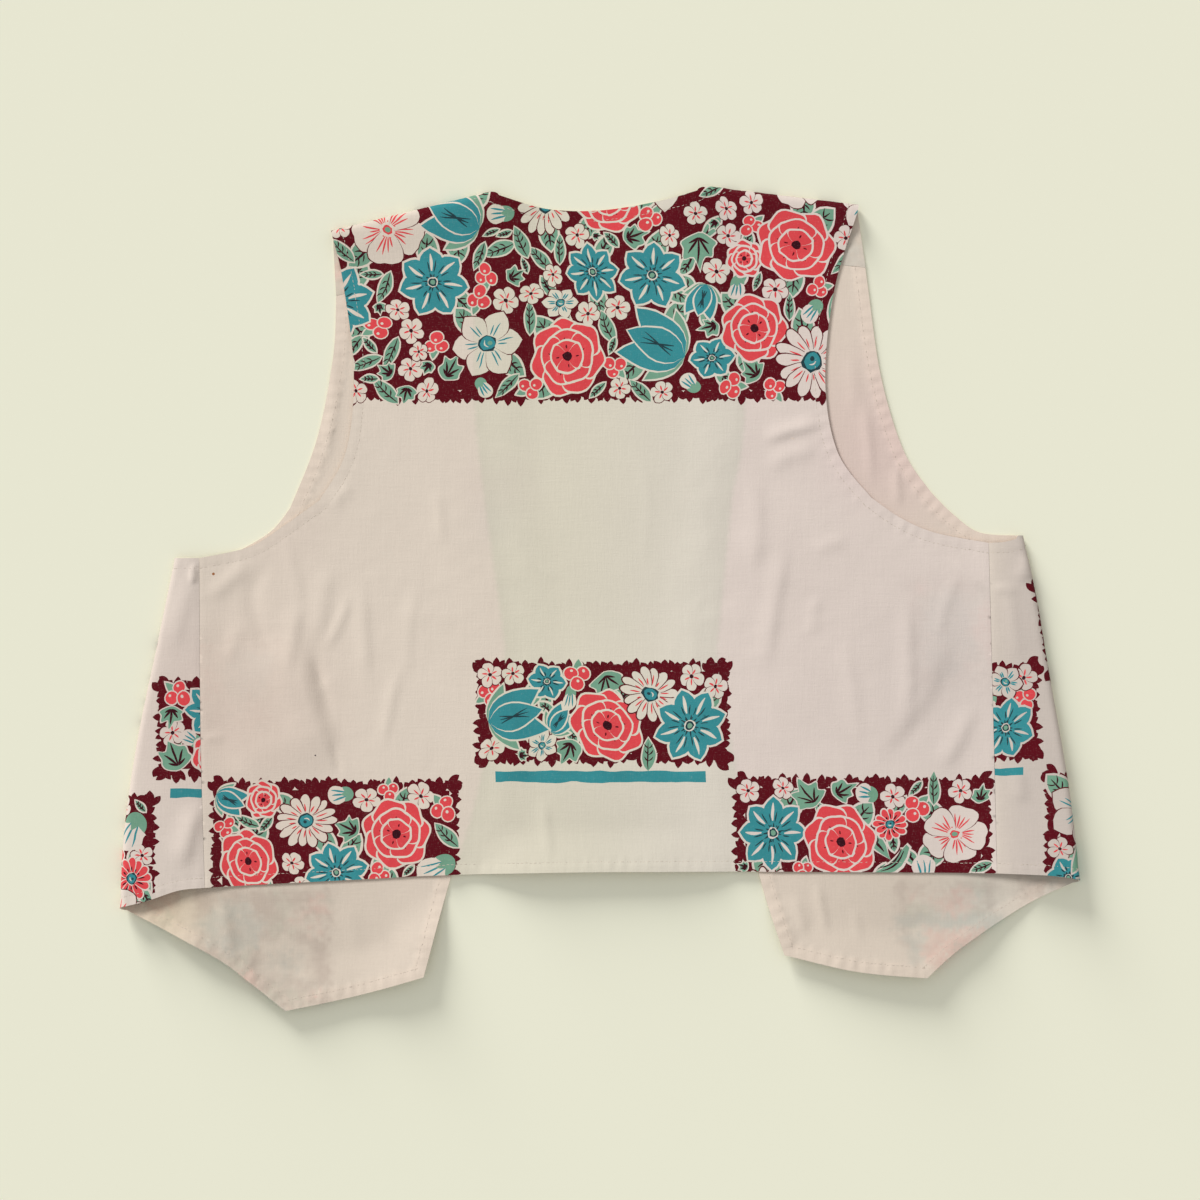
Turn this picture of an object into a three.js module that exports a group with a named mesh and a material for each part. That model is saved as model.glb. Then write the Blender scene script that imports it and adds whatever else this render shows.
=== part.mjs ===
// A waistcoat laid flat, with its back panel uppermost and its two fronts folded beneath it.
// Millimetres, +Z up. The fronts lie on z = 0, and the neck points along +Y.
//
// It is cut in three panels. The back turns over both shoulders to a seam on the under side.
// Each front turns over its side fold to a seam on the upper side. The fronts stay apart in
// the middle, so the back sinks between them to the surface.
import * as THREE from 'three';

// The cloth
const WALL = 1.2; // thickness of each cloth wall
const GAP = 0.3; // clear space at a seam and between two layers
const CREAM = 0xd9ccc0;

// The rounded folds
const FOLD_REACH = 4; // how far a fold's rounding reaches in from its outermost line
const FOLD_STEPS = 6; // facets round a fold's half turn
const SIDE_LIFT = {
  hem: { rise: 10, fade: 80 }, // the upper layer's top at the fold, and how far in it settles
  armhole: { rise: 5, fade: 35 },
  above: 40, // how far above the armhole corner the lift dies away
};
const SHOULDER_LIFT = { rise: 6, fade: 30, beyondNeck: 45 };

// Where the back leaves the fronts' edges and sinks to the surface between them
const SAG = { start: 13, run: 28 };

// How many cells each stretch of cloth is divided into
const CELLS = {
  shoulder: 7,
  neck: 11,
  underarm: 6,
  backSkirt: 17,
  backYoke: 13,
  shoulderTurn: 3,
  frontOuter: 7,
  frontInner: 8,
  frontBelowBreak: 10,
  frontAboveBreak: 7,
  frontStrap: 10,
  sideStrip: 4,
};

// Outlines of each side, seen from above. Each table runs upwards or inwards.
// slant: how far a cloth edge runs along a fold while it crosses the fold's rounding.
const LEFT = {
  name: 'left',
  sign: -1,
  fold: [
    { x: -297, y: -191.5 },
    { x: -294.5, y: -143.5 },
    { x: -286.5, y: -87.5 },
    { x: -274.5, y: -29 },
    { x: -263.5, y: 25 },
  ],
  foldSlant: { hem: 1.5, armhole: 0 },
  seam: [
    { x: -244.5, y: -179 },
    { x: -247, y: -90 },
    { x: -248, y: 25 },
  ],
  sideHem: [
    { x: -293, y: -190 },
    { x: -279, y: -186.5 },
    { x: -260.5, y: -180.5 },
    { x: -244.5, y: -179 },
  ],
  sideArmhole: [
    { x: -259.5, y: 25 },
    { x: -248, y: 25 },
  ],
  backUnderarm: [
    { x: -248, y: 25 },
    { x: -217, y: 32 },
    { x: -196, y: 45 },
    { x: -173.5, y: 61 },
  ],
  backArmhole: [
    { x: -173.5, y: 61 },
    { x: -157, y: 92 },
    { x: -152.5, y: 141.5 },
    { x: -159.5, y: 198 },
    { x: -165.5, y: 224 },
  ],
  frontUnderarm: [
    { x: -259.5, y: 25 },
    { x: -235.5, y: 25 },
    { x: -206, y: 40 },
    { x: -192, y: 56 },
  ],
  frontArmhole: [
    { x: -192, y: 56 },
    { x: -175.5, y: 98.5 },
    { x: -165.5, y: 148 },
    { x: -163.5, y: 187.5 },
  ],
  frontHemOuter: [
    { x: -293, y: -193 },
    { x: -240.5, y: -220 },
    { x: -217, y: -237 },
    { x: -194.5, y: -255 },
  ],
  frontHemInner: [
    { x: -194.5, y: -255 },
    { x: -152, y: -246 },
    { x: -109, y: -234 },
  ],
  edgeBelowBreak: [
    { x: -109, y: -234 },
    { x: -93, y: -174.5 },
    { x: -77.5, y: -125 },
    { x: -59, y: -32 },
  ],
  edgeAboveBreak: [
    { x: -59, y: -32 },
    { x: -72, y: 61 },
  ],
  edgeStrap: [
    { x: -72, y: 61 },
    { x: -78, y: 120 },
    { x: -78, y: 208.5 },
  ],
  shoulder: { tip: { x: -166.5, y: 228 }, neck: { x: -70.5, y: 251.5 }, slant: 7.4 },
};

const RIGHT = {
  name: 'right',
  sign: 1,
  fold: [
    { x: 297, y: -174.5 },
    { x: 290.5, y: -118 },
    { x: 278.5, y: -47.5 },
    { x: 270.5, y: 0.5 },
    { x: 262, y: 39 },
  ],
  foldSlant: { hem: 1.5, armhole: 0 },
  seam: [
    { x: 245.5, y: -170 },
    { x: 243.5, y: -80 },
    { x: 240.5, y: 34.5 },
  ],
  sideHem: [
    { x: 293, y: -173 },
    { x: 277, y: -171 },
    { x: 245.5, y: -170 },
  ],
  sideArmhole: [
    { x: 258, y: 37 },
    { x: 250, y: 35 },
    { x: 240.5, y: 34.5 },
  ],
  backUnderarm: [
    { x: 240.5, y: 34.5 },
    { x: 208.5, y: 40.5 },
    { x: 187, y: 49.5 },
    { x: 168, y: 62.5 },
  ],
  backArmhole: [
    { x: 168, y: 62.5 },
    { x: 147, y: 91 },
    { x: 139.5, y: 135 },
    { x: 145, y: 190.5 },
    { x: 159.5, y: 240 },
  ],
  frontUnderarm: [
    { x: 258, y: 39 },
    { x: 235, y: 41 },
    { x: 218.5, y: 52.5 },
    { x: 205, y: 66 },
  ],
  frontArmhole: [
    { x: 205, y: 66 },
    { x: 188, y: 92 },
    { x: 174, y: 138 },
    { x: 166, y: 193 },
    { x: 164.5, y: 205 },
  ],
  frontHemOuter: [
    { x: 293, y: -176 },
    { x: 263.5, y: -190 },
    { x: 224.5, y: -215 },
    { x: 202, y: -234.5 },
  ],
  frontHemInner: [
    { x: 202, y: -234.5 },
    { x: 158, y: -230.5 },
    { x: 114, y: -220.5 },
  ],
  edgeBelowBreak: [
    { x: 114, y: -220.5 },
    { x: 99, y: -172.5 },
    { x: 83.5, y: -100 },
    { x: 73, y: -32 },
  ],
  edgeAboveBreak: [
    { x: 73, y: -32 },
    { x: 82, y: 61 },
  ],
  edgeStrap: [
    { x: 82, y: 61 },
    { x: 90, y: 118 },
    { x: 80, y: 215 },
  ],
  shoulder: { tip: { x: 160, y: 244 }, neck: { x: 70, y: 255 }, slant: 9.6 },
};

const HEM = [
  { x: -244.5, y: -179 },
  { x: -149, y: -174 },
  { x: -85.5, y: -171 },
  { x: 23, y: -169 },
  { x: 245.5, y: -170 },
];
const NECK_CURVE = [
  { x: -33.5, y: 241.5 },
  { x: 0, y: 240.5 },
  { x: 38, y: 246.5 },
];

// The largest creases of the upper layer, as soft ridges between two ends
const CREASES = [
  { x1: -178, y1: -38, x2: -160, y2: -110, height: 1.6, width: 15 },
  { x1: -205, y1: 28, x2: -214, y2: -14, height: 1.3, width: 15 },
  { x1: -156, y1: -12, x2: -174, y2: -38, height: 1.2, width: 14 },
  { x1: 208, y1: 30, x2: 228, y2: 6, height: 1.4, width: 15 },
  { x1: 150, y1: 60, x2: 176, y2: 8, height: 1.0, width: 15 },
  { x1: -268, y1: -150, x2: -262, y2: -178, height: 1.6, width: 14 },
];

const SURFACE = WALL / 2; // middle of a wall that lies on the surface
const UPPER = WALL + GAP + WALL / 2; // middle of a wall that lies on another one

const vector = ({ x, y }) => new THREE.Vector2(x, y);

// Evenly spaced points on a smooth line through a table's rows
function along(rows, cells) {
  return new THREE.SplineCurve(rows.map(vector)).getSpacedPoints(cells);
}

// Lines that meet end to end, as one line
function joined(...lines) {
  return lines.reduce((whole, line) => whole.concat(line.slice(1)));
}

function smooth(value) {
  const t = THREE.MathUtils.clamp(value, 0, 1);
  return t * t * (3 - 2 * t);
}

// The x of a line of rising points at a height y, held constant past its ends
function xAt(line, y) {
  if (y <= line[0].y) return line[0].x;
  for (let i = 1; i < line.length; i += 1) {
    const [low, high] = [line[i - 1], line[i]];
    if (y <= high.y) return THREE.MathUtils.mapLinear(y, low.y, high.y, low.x, high.x);
  }
  return line[line.length - 1].x;
}

// A shoulder's straight fold: its start at the arm, its direction to the neck, and the way in
function shoulderFrame({ shoulder }) {
  const tip = vector(shoulder.tip);
  const span = vector(shoulder.neck).sub(tip);
  const direction = span.clone().normalize();
  const inward = new THREE.Vector2(direction.y, -direction.x);
  if (inward.y > 0) inward.negate();
  return { tip, direction, inward, length: span.length() };
}

// Finer lines that the heights are worked out from
const SIDES = [LEFT, RIGHT].map((side) => {
  const fine = 40;
  const edge = [side.edgeBelowBreak, side.edgeAboveBreak, side.edgeStrap].map((rows) => along(rows, fine));
  return {
    ...side,
    foldLine: along(side.fold, fine),
    edgeLine: joined(...edge, [edge[2][fine], vector(side.shoulder.neck)]),
    frame: shoulderFrame(side),
  };
});

function sideLift(side, x, y) {
  const bottom = side.foldLine[0].y;
  const top = side.foldLine[side.foldLine.length - 1].y;
  const share = THREE.MathUtils.clamp((y - bottom) / (top - bottom), 0, 1);
  const rise = THREE.MathUtils.lerp(SIDE_LIFT.hem.rise, SIDE_LIFT.armhole.rise, share);
  const fade = THREE.MathUtils.lerp(SIDE_LIFT.hem.fade, SIDE_LIFT.armhole.fade, share);
  const inside = Math.abs(x - xAt(side.foldLine, y)) - FOLD_REACH;
  const above = 1 - smooth((y - top) / SIDE_LIFT.above);
  return (rise - WALL / 2 - UPPER) * (1 - smooth(inside / fade)) * above;
}

function shoulderLift({ frame }, x, y) {
  const offset = new THREE.Vector2(x, y).sub(frame.tip);
  const inside = offset.dot(frame.inward) - FOLD_REACH;
  const past = offset.dot(frame.direction) - frame.length;
  const { rise, fade, beyondNeck } = SHOULDER_LIFT;
  return (rise - WALL / 2 - UPPER) * (1 - smooth(inside / fade)) * (1 - smooth(past / beyondNeck));
}

function ridge({ x1, y1, x2, y2, height, width }, x, y) {
  const line = new THREE.Line3(new THREE.Vector3(x1, y1, 0), new THREE.Vector3(x2, y2, 0));
  const point = new THREE.Vector3(x, y, 0);
  const nearest = line.closestPointToPoint(point, true, new THREE.Vector3());
  return height * (1 - smooth(nearest.distanceTo(point) / width));
}

// Height of the middle of the upper layer's wall
function upperHeight(x, y) {
  const pastEdge = Math.min(...SIDES.map(({ edgeLine, sign }) => sign * (xAt(edgeLine, y) - x)));
  let z = THREE.MathUtils.lerp(UPPER, SURFACE, smooth((pastEdge - SAG.start) / SAG.run));
  SIDES.forEach((side) => {
    z += sideLift(side, x, y) + shoulderLift(side, x, y);
  });
  CREASES.forEach((crease) => {
    z += ridge(crease, x, y);
  });
  return z;
}

const onSurface = () => SURFACE;

// Shares of a line's length at which its points lie
function shares(line) {
  const reached = [0];
  for (let i = 1; i < line.length; i += 1) reached.push(reached[i - 1] + line[i].distanceTo(line[i - 1]));
  return reached.map((value) => value / reached[line.length - 1]);
}

function halfway(first, second) {
  return first.map((value, i) => (value + second[i]) / 2);
}

// A grid of cloth between four edges, laid at the given height. Rows run from start to end.
function patch(start, end, first, last, height) {
  const [u, v] = [halfway(shares(start), shares(end)), halfway(shares(first), shares(last))];
  const n = u.length - 1;
  return v.map((up, i) => u.map((over, j) => {
    const rows = first[i].clone().lerp(last[i], over);
    const columns = start[j].clone().lerp(end[j], up);
    const low = start[0].clone().lerp(start[n], over);
    const corners = low.lerp(end[0].clone().lerp(end[n], over), up);
    const { x, y } = rows.add(columns).sub(corners);
    return new THREE.Vector3(x, y, height(x, y));
  }));
}

// The half turn round a fold, from the upper layer's line to the lower layer's
function turn(upperLine, lowerLine, outward) {
  const reach = FOLD_REACH - WALL / 2;
  return Array.from({ length: FOLD_STEPS + 1 }, (_, step) => {
    const angle = (Math.PI * step) / FOLD_STEPS;
    return upperLine.map((upper, i) => {
      const flat = lowerLine[i].clone().lerp(upper, (1 + Math.cos(angle)) / 2);
      flat.addScaledVector(outward, reach * Math.sin(angle));
      const top = upperHeight(upper.x, upper.y);
      const z = SURFACE + ((top - SURFACE) * (1 + Math.cos(angle))) / 2;
      return new THREE.Vector3(flat.x, flat.y, z);
    });
  });
}

const transposed = (grid) => grid[0].map((_, j) => grid.map((row) => row[j]));
const reversedRows = (grid) => grid.slice().reverse();

// Gathers grids into one list of points and faces; points that coincide are shared
function stitched(grids) {
  const points = [];
  const faces = [];
  const found = new Map();
  const index = (point) => {
    const key = point.toArray().map((value) => Math.round(value * 100)).join();
    if (!found.has(key)) found.set(key, points.push(point) - 1);
    return found.get(key);
  };
  grids.forEach((grid) => {
    const ids = grid.map((row) => row.map(index));
    for (let i = 1; i < ids.length; i += 1) {
      for (let j = 1; j < ids[0].length; j += 1) {
        const [a, b, c, d] = [ids[i - 1][j - 1], ids[i - 1][j], ids[i][j], ids[i][j - 1]];
        faces.push([a, b, c], [a, c, d]);
      }
    }
  });
  return { points, faces };
}

function normals({ points, faces }) {
  const sums = points.map(() => new THREE.Vector3());
  faces.forEach((face) => {
    const [a, b, c] = face.map((id) => points[id]);
    const normal = b.clone().sub(a).cross(c.clone().sub(a));
    face.forEach((id) => sums[id].add(normal));
  });
  return sums.map((sum) => sum.normalize());
}

// The edges that only one face uses, in that face's direction
function borders(faces) {
  const edges = faces.flatMap(([a, b, c]) => [[a, b], [b, c], [c, a]]);
  const used = new Set(edges.map((edge) => edge.join()));
  return edges.filter(([a, b]) => !used.has([b, a].join()));
}

// A closed wall round the middle surface that the grids give
function clothWall(name, grids) {
  const sheet = stitched(grids);
  const outward = normals(sheet);
  const moved = (distance) => sheet.points.map((point, id) => (
    point.clone().addScaledVector(outward[id], distance)
  ));
  const under = sheet.points.length;
  const rims = borders(sheet.faces).flatMap(([a, b]) => [[b, a, a + under], [b, a + under, b + under]]);
  const lower = sheet.faces.map(([a, b, c]) => [c + under, b + under, a + under]);
  const geometry = new THREE.BufferGeometry();
  geometry.setFromPoints(moved(WALL / 2).concat(moved(-WALL / 2)));
  geometry.setIndex([...sheet.faces, ...lower, ...rims].flat());
  geometry.computeVertexNormals();
  const material = new THREE.MeshStandardMaterial({ color: CREAM, roughness: 0.92, metalness: 0 });
  const mesh = new THREE.Mesh(geometry, material);
  mesh.name = name;
  return mesh;
}

// A shoulder's lines: on the upper layer, on the lower layer and at its seam, from arm to neck
function shoulderLines({ frame, shoulder }) {
  const arm = frame.tip.clone().addScaledVector(frame.inward, FOLD_REACH);
  const end = arm.clone().addScaledVector(frame.direction, frame.length);
  const [over, under] = [shoulder.slant, -shoulder.slant].map((slant) => (
    end.clone().addScaledVector(frame.direction, slant)
  ));
  return { upper: along([arm, over], CELLS.shoulder), lower: along([arm, under], CELLS.shoulder) };
}

// The back: a skirt below the armholes, a yoke above, and a turn over each shoulder
function back([left, right]) {
  const over = [left, right].map(shoulderLines);
  const [leftTop, rightTop] = [over[0].upper, over[1].upper.slice().reverse()];
  const middle = 2 * CELLS.shoulder + CELLS.neck;
  const across = along([left.backUnderarm.at(-1), right.backUnderarm.at(-1)], middle);
  const hem = along(HEM, middle + 2 * CELLS.underarm);
  const neck = along([leftTop.at(-1), ...NECK_CURVE, rightTop[0]], CELLS.neck);
  const underarms = [left, right].map((side) => along(side.backUnderarm, CELLS.underarm));
  const top = joined(underarms[0], across, underarms[1].slice().reverse());
  const [leftSeam, rightSeam] = [left, right].map((side) => along(side.seam, CELLS.backSkirt));
  const [leftArm, rightArm] = [left, right].map((side) => along(side.backArmhole, CELLS.backYoke));
  leftArm[CELLS.backYoke].copy(leftTop[0]);
  rightArm[CELLS.backYoke].copy(rightTop.at(-1));
  const grids = [
    patch(hem, top, leftSeam, rightSeam, upperHeight),
    patch(across, joined(leftTop, neck, rightTop), leftArm, rightArm, upperHeight),
  ];
  [left, right].forEach((side, i) => {
    const outward = side.frame.inward.clone().negate();
    const ordered = (line) => (side.sign < 0 ? line : line.slice().reverse());
    const [upper, lower] = [over[i].upper, over[i].lower].map(ordered);
    const seam = ordered(along([side.frontArmhole.at(-1), side.edgeStrap.at(-1)], CELLS.shoulder));
    seam.forEach((point) => point.addScaledVector(outward, GAP));
    const ends = [0, CELLS.shoulder].map((j) => along([lower[j], seam[j]], CELLS.shoulderTurn));
    grids.push(turn(upper, lower, outward), patch(lower, seam, ends[0], ends[1], onSurface));
  });
  return clothWall('back', grids);
}

// A front: a skirt and a strap on the surface, a turn round the side, and a strip on top of it
function front(side) {
  const rows = CELLS.frontBelowBreak + CELLS.frontAboveBreak;
  const shifted = (line, slant) => line.map((point, i) => new THREE.Vector2(
    point.x - side.sign * FOLD_REACH,
    point.y + slant * THREE.MathUtils.lerp(side.foldSlant.hem, side.foldSlant.armhole, i / rows),
  ));
  const fold = along(side.fold, rows);
  const [upper, lower] = [shifted(fold, 1), shifted(fold, -1)];
  const edge = joined(
    along(side.edgeBelowBreak, CELLS.frontBelowBreak),
    along(side.edgeAboveBreak, CELLS.frontAboveBreak),
  );
  const hem = joined(
    along(side.frontHemInner, CELLS.frontInner).reverse(),
    along(side.frontHemOuter, CELLS.frontOuter).reverse(),
  );
  const across = along([edge.at(-1), side.frontUnderarm.at(-1)], CELLS.frontInner);
  const top = joined(across, along(side.frontUnderarm, CELLS.frontOuter).reverse());
  [hem.at(-1), top.at(-1)].forEach((point, i) => point.copy(i ? lower.at(-1) : lower[0]));
  const arm = along(side.frontArmhole, CELLS.frontStrap);
  const strapEdge = along(side.edgeStrap, CELLS.frontStrap);
  const shoulder = along([strapEdge.at(-1), arm.at(-1)], CELLS.frontInner);
  const seam = along(side.seam, rows);
  seam.forEach((point) => {
    point.x += side.sign * GAP;
  });
  const sideHem = along([upper[0], ...side.sideHem.slice(1, -1), seam[0]], CELLS.sideStrip);
  const sideArmhole = along([upper.at(-1), ...side.sideArmhole.slice(1, -1), seam.at(-1)], CELLS.sideStrip);
  const outward = new THREE.Vector2(side.sign, 0);
  return clothWall(`front_${side.name}`, [
    patch(hem, top, edge, lower, onSurface),
    patch(across, shoulder, strapEdge, arm, onSurface),
    transposed(reversedRows(turn(upper, lower, outward))),
    patch(sideHem, sideArmhole, upper, seam, upperHeight),
  ]);
}

// A mesh whose faces all point out
function facingOut(mesh) {
  const { position } = mesh.geometry.attributes;
  const ids = mesh.geometry.index.array;
  const corner = (i) => new THREE.Vector3().fromBufferAttribute(position, ids[i]);
  let volume = 0;
  for (let i = 0; i < ids.length; i += 3) volume += corner(i).dot(corner(i + 1).cross(corner(i + 2)));
  if (volume < 0) {
    mesh.geometry.setIndex(Array.from(ids).reverse());
    mesh.geometry.computeVertexNormals();
  }
  return mesh;
}

const waistcoat = new THREE.Group();
waistcoat.add(...[back(SIDES), ...SIDES.map(front)].map(facingOut));

export default waistcoat;
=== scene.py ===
"""A waistcoat of printed table linen, laid flat with its back uppermost.

Sizes are in millimetres until a mesh is made. "Flat" coordinates are those of a panel before it
was folded: its own cloth, spread out. "Laid" coordinates are those of the garment as it lies.
"""

import math

import bpy
import numpy as np
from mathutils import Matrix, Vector
from mathutils.geometry import delaunay_2d_cdt


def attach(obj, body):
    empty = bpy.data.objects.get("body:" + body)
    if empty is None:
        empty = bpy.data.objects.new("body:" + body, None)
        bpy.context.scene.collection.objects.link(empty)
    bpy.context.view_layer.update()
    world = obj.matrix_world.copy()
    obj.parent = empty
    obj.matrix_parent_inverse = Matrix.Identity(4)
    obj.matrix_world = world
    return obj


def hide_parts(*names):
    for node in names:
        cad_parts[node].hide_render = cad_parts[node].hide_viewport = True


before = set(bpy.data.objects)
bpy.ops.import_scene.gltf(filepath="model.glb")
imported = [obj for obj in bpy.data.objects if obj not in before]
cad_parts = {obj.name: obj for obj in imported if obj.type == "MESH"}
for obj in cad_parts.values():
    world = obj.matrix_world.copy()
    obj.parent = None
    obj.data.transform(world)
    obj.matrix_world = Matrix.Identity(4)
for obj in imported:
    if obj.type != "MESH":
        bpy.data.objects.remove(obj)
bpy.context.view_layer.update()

MM = 0.001

# ---------------------------------------------------------------- the cloth and its folds
SURFACE = 0.6        # middle of a CAD wall that lies on the surface
UPPER = 2.1          # middle of a CAD wall that lies on another one
THICKNESS = 0.45
RIGHT_SIDE_SHIFT = 0.15   # the cloth lies this much nearer to its right side than the wall's middle
RIGHT_FACE = THICKNESS / 2 + RIGHT_SIDE_SHIFT
SEAM_GAP = 0.12
FOLD_REACH = 4.0
LOOP_REACH = 3.4
TURN_MARGIN = 2.5
SIDE_RISE = {"hem": 10.0, "armhole": 5.0}
SIDE_FADE = {"hem": 80.0, "armhole": 35.0}
SIDE_FADE_ABOVE = 40.0
SHOULDER_RISE = 6.0
SHOULDER_FADE = 30.0
SHOULDER_FADE_PAST_NECK = 45.0
SAG_START = 13.0
SAG_RUN = 28.0
LOOSE_RISE = 5.5     # how far loose edges stand off the surface
LOOSE_RUN = 31.0
LOOSE_BELOW = -182.0

# Outlines of each side as laid, in the row frame. Lines run upwards or inwards.
LEFT_LINES = {
    "fold": [(-297, -191.5), (-294.5, -143.5), (-286.5, -87.5), (-274.5, -29), (-263.5, 25)],
    "seam": [(-244.5, -179), (-247, -90), (-248, 25)],
    "side_hem": [(-293, -190), (-279, -186.5), (-260.5, -180.5), (-244.5, -179)],
    "side_armhole": [(-259.5, 25), (-248, 25)],
    "back_underarm": [(-248, 25), (-217, 32), (-196, 45), (-173.5, 61)],
    "back_armhole": [(-173.5, 61), (-157, 92), (-152.5, 141.5), (-159.5, 198), (-165.5, 224)],
    "front_underarm": [(-259.5, 25), (-235.5, 25), (-206, 40), (-192, 56)],
    "front_armhole": [(-192, 56), (-175.5, 98.5), (-165.5, 148), (-163.5, 187.5)],
    "hem_outer": [(-293, -193), (-240.5, -220), (-217, -237), (-194.5, -255)],
    "hem_inner": [(-194.5, -255), (-152, -246), (-109, -234)],
    "edge_low": [(-109, -234), (-93, -174.5), (-77.5, -125), (-59, -32)],
    "edge_mid": [(-59, -32), (-72, 61)],
    "edge_strap": [(-72, 61), (-78, 120), (-78, 208.5)],
}
LEFT_SHOULDER = {"tip": (-166.5, 228), "neck": (-70.5, 251.5), "slant": 7.4}
RIGHT_LINES = {
    "fold": [(297, -174.5), (290.5, -118), (278.5, -47.5), (270.5, 0.5), (262, 39)],
    "seam": [(245.5, -170), (243.5, -80), (240.5, 34.5)],
    "side_hem": [(293, -173), (277, -171), (245.5, -170)],
    "side_armhole": [(258, 37), (250, 35), (240.5, 34.5)],
    "back_underarm": [(240.5, 34.5), (208.5, 40.5), (187, 49.5), (168, 62.5)],
    "back_armhole": [(168, 62.5), (147, 91), (139.5, 135), (145, 190.5), (159.5, 240)],
    "front_underarm": [(258, 39), (235, 41), (218.5, 52.5), (205, 66)],
    "front_armhole": [(205, 66), (188, 92), (174, 138), (166, 193), (164.5, 205)],
    "hem_outer": [(293, -176), (263.5, -190), (224.5, -215), (202, -234.5)],
    "hem_inner": [(202, -234.5), (158, -230.5), (114, -220.5)],
    "edge_low": [(114, -220.5), (99, -172.5), (83.5, -100), (73, -32)],
    "edge_mid": [(73, -32), (82, 61)],
    "edge_strap": [(82, 61), (90, 118), (80, 215)],
}
RIGHT_SHOULDER = {"tip": (160, 244), "neck": (70, 255), "slant": 9.6}
HEM_SLANT = 1.5
BACK_HEM = [(-244.5, -179), (-149, -174), (-85.5, -171), (23, -169), (245.5, -170)]
NECK = [(-33.5, 241.5), (0, 240.5), (38, 246.5)]

# Creases: path, height, then width on the left and on the right of the path
CREASE_GAIN = 2.2    # mm of height for each unit in the tables
UPPER_CREASES = [
    ([(-190, -18), (-185.5, -45), (-180.5, -66), (-172.5, -88), (-165.5, -112)], 1.7, 7.5, 42),
    ([(-177, -24), (-172.5, -50), (-165, -80)], -0.35, 3, 4),
    ([(-157.5, 5.3), (-158.7, -8.4), (-171.1, -34.4)], 0.5, 3, 3),
    ([(-202.1, 27), (-215.1, 4), (-209.6, -21.4), (-200.9, -39.4)], -0.5, 5, 5),
    ([(-186, -0.9), (-191, -28.8), (-194.7, -50.5)], 0.7, 4, 7),
    ([(-167.4, 23.9), (-172.4, -7.1), (-176.1, -31.9)], 0.5, 5, 7),
    ([(-205.8, -25.7), (-191, -62.9), (-172.4, -100.1)], 0.3, 8, 8),
    ([(-163.7, 53.6), (-161.2, 63.5), (-151.3, 69.1)], 0.35, 4, 4),
    ([(-147.6, 14.6), (-145.1, -28.8), (-142.6, -59.8)], 0.4, 3, 5),
    ([(-123.4, -39.4), (-130.2, -69.1), (-134.5, -95.2)], 0.38, 2.5, 4),
    ([(-101.7, 70.4), (-96.7, 31.3)], 0.3, 3, 4),
    ([(-215.8, 23.9), (-229.4, 11.5), (-243.7, -0.9)], 0.6, 5, 5),
    ([(-222.6, -12.1), (-231.3, -43.1)], 0.4, 5, 5),
    ([(-253, 17.1), (-259.2, -7.1), (-266, -35)], 0.5, 6, 6),
    ([(-251.7, 22.6), (-251.7, 7.8)], 0.8, 1.5, 2),
    ([(-245.5, -85.9), (-230.6, -85.9)], 0.3, 2.5, 2.5),
    ([(-249.2, -124.9), (-254.2, -146.6), (-260.4, -169.6)], 1, 5, 7),
    ([(140.1, 108.2), (120.9, 104.5), (99.2, 97.7)], 0.9, 3, 5),
    ([(137.6, 92.1), (117.8, 89), (101.7, 79.7)], 0.5, 5, 5),
    ([(94.2, 79.7), (97.3, 43.7), (93, 10.2)], 0.5, 5, 8),
    ([(116.6, 39.4), (107.9, -5.9), (101.1, -50.5)], 0.6, 4, 7),
    ([(133.9, 5.3), (130.2, -25.7)], 0.3, 4, 4),
    ([(189.7, 5.3), (191.6, -50.5), (189.1, -84.6)], 0.6, 4, 6),
    ([(215.8, -14.6), (200.9, -56.7), (183.5, -80.3), (162.4, -106.3)], 0.6, 7, 24),
    ([(224.4, -28.8), (210.8, -61.7), (194.7, -80.3), (173.6, -106.3)], -0.15, 6, 6),
    ([(232.5, -62.9), (220.1, -90.8), (207.7, -107.6)], 0.7, 5, 7),
    ([(265.4, 28.8), (259.2, 8.4)], 0.8, 4, 4),
    ([(260.4, 5.3), (241.8, 6.5)], 0.4, 3, 3),
    ([(214.5, 26.4), (239.3, 4)], 0.35, 2.5, 2.5),
    ([(257.9, -103.2), (261, -128)], 0.6, 4, 5),
    ([(155, 37.5), (130.2, 30.1)], 0.3, 4, 4),
    ([(186.5, 60), (183.5, 53.5), (180, 45)], -0.2, 1.8, 1.8),
    ([(-108, -172), (-96, -171), (-84, -171)], 0.35, 9, 9),
    ([(-179.5, -36), (-174, -48), (-171, -58)], -0.35, 1.8, 2.2),
    ([(-166, -86), (-163.5, -98), (-160.5, -112)], -0.4, 2, 2),
    ([(-196, 40), (-188, 12), (-184, -10)], 0.3, 3, 5),
    ([(-233, -98), (-214, -112), (-203, -131)], 0.35, 4, 6),
    ([(-112, 20), (-118, -20), (-121, -58)], 0.25, 3, 5),
    ([(225, 20), (214, -4), (209, -30)], 0.3, 3, 4),
    ([(150, -20), (157, -60), (160, -92)], 0.3, 4, 6),
    ([(252, 14), (256, -16), (259, -44)], 0.3, 3, 4),
    ([(-58, 40), (-40, 20), (-16, 12)], 0.12, 3, 4),
    ([(24, 96), (30, 60), (26, 18)], 0.12, 3, 4),
    ([(-35.3, -122.5), (-32.9, -143.5), (-30.4, -164.6)], 0.35, 2.5, 4),
]
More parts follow.
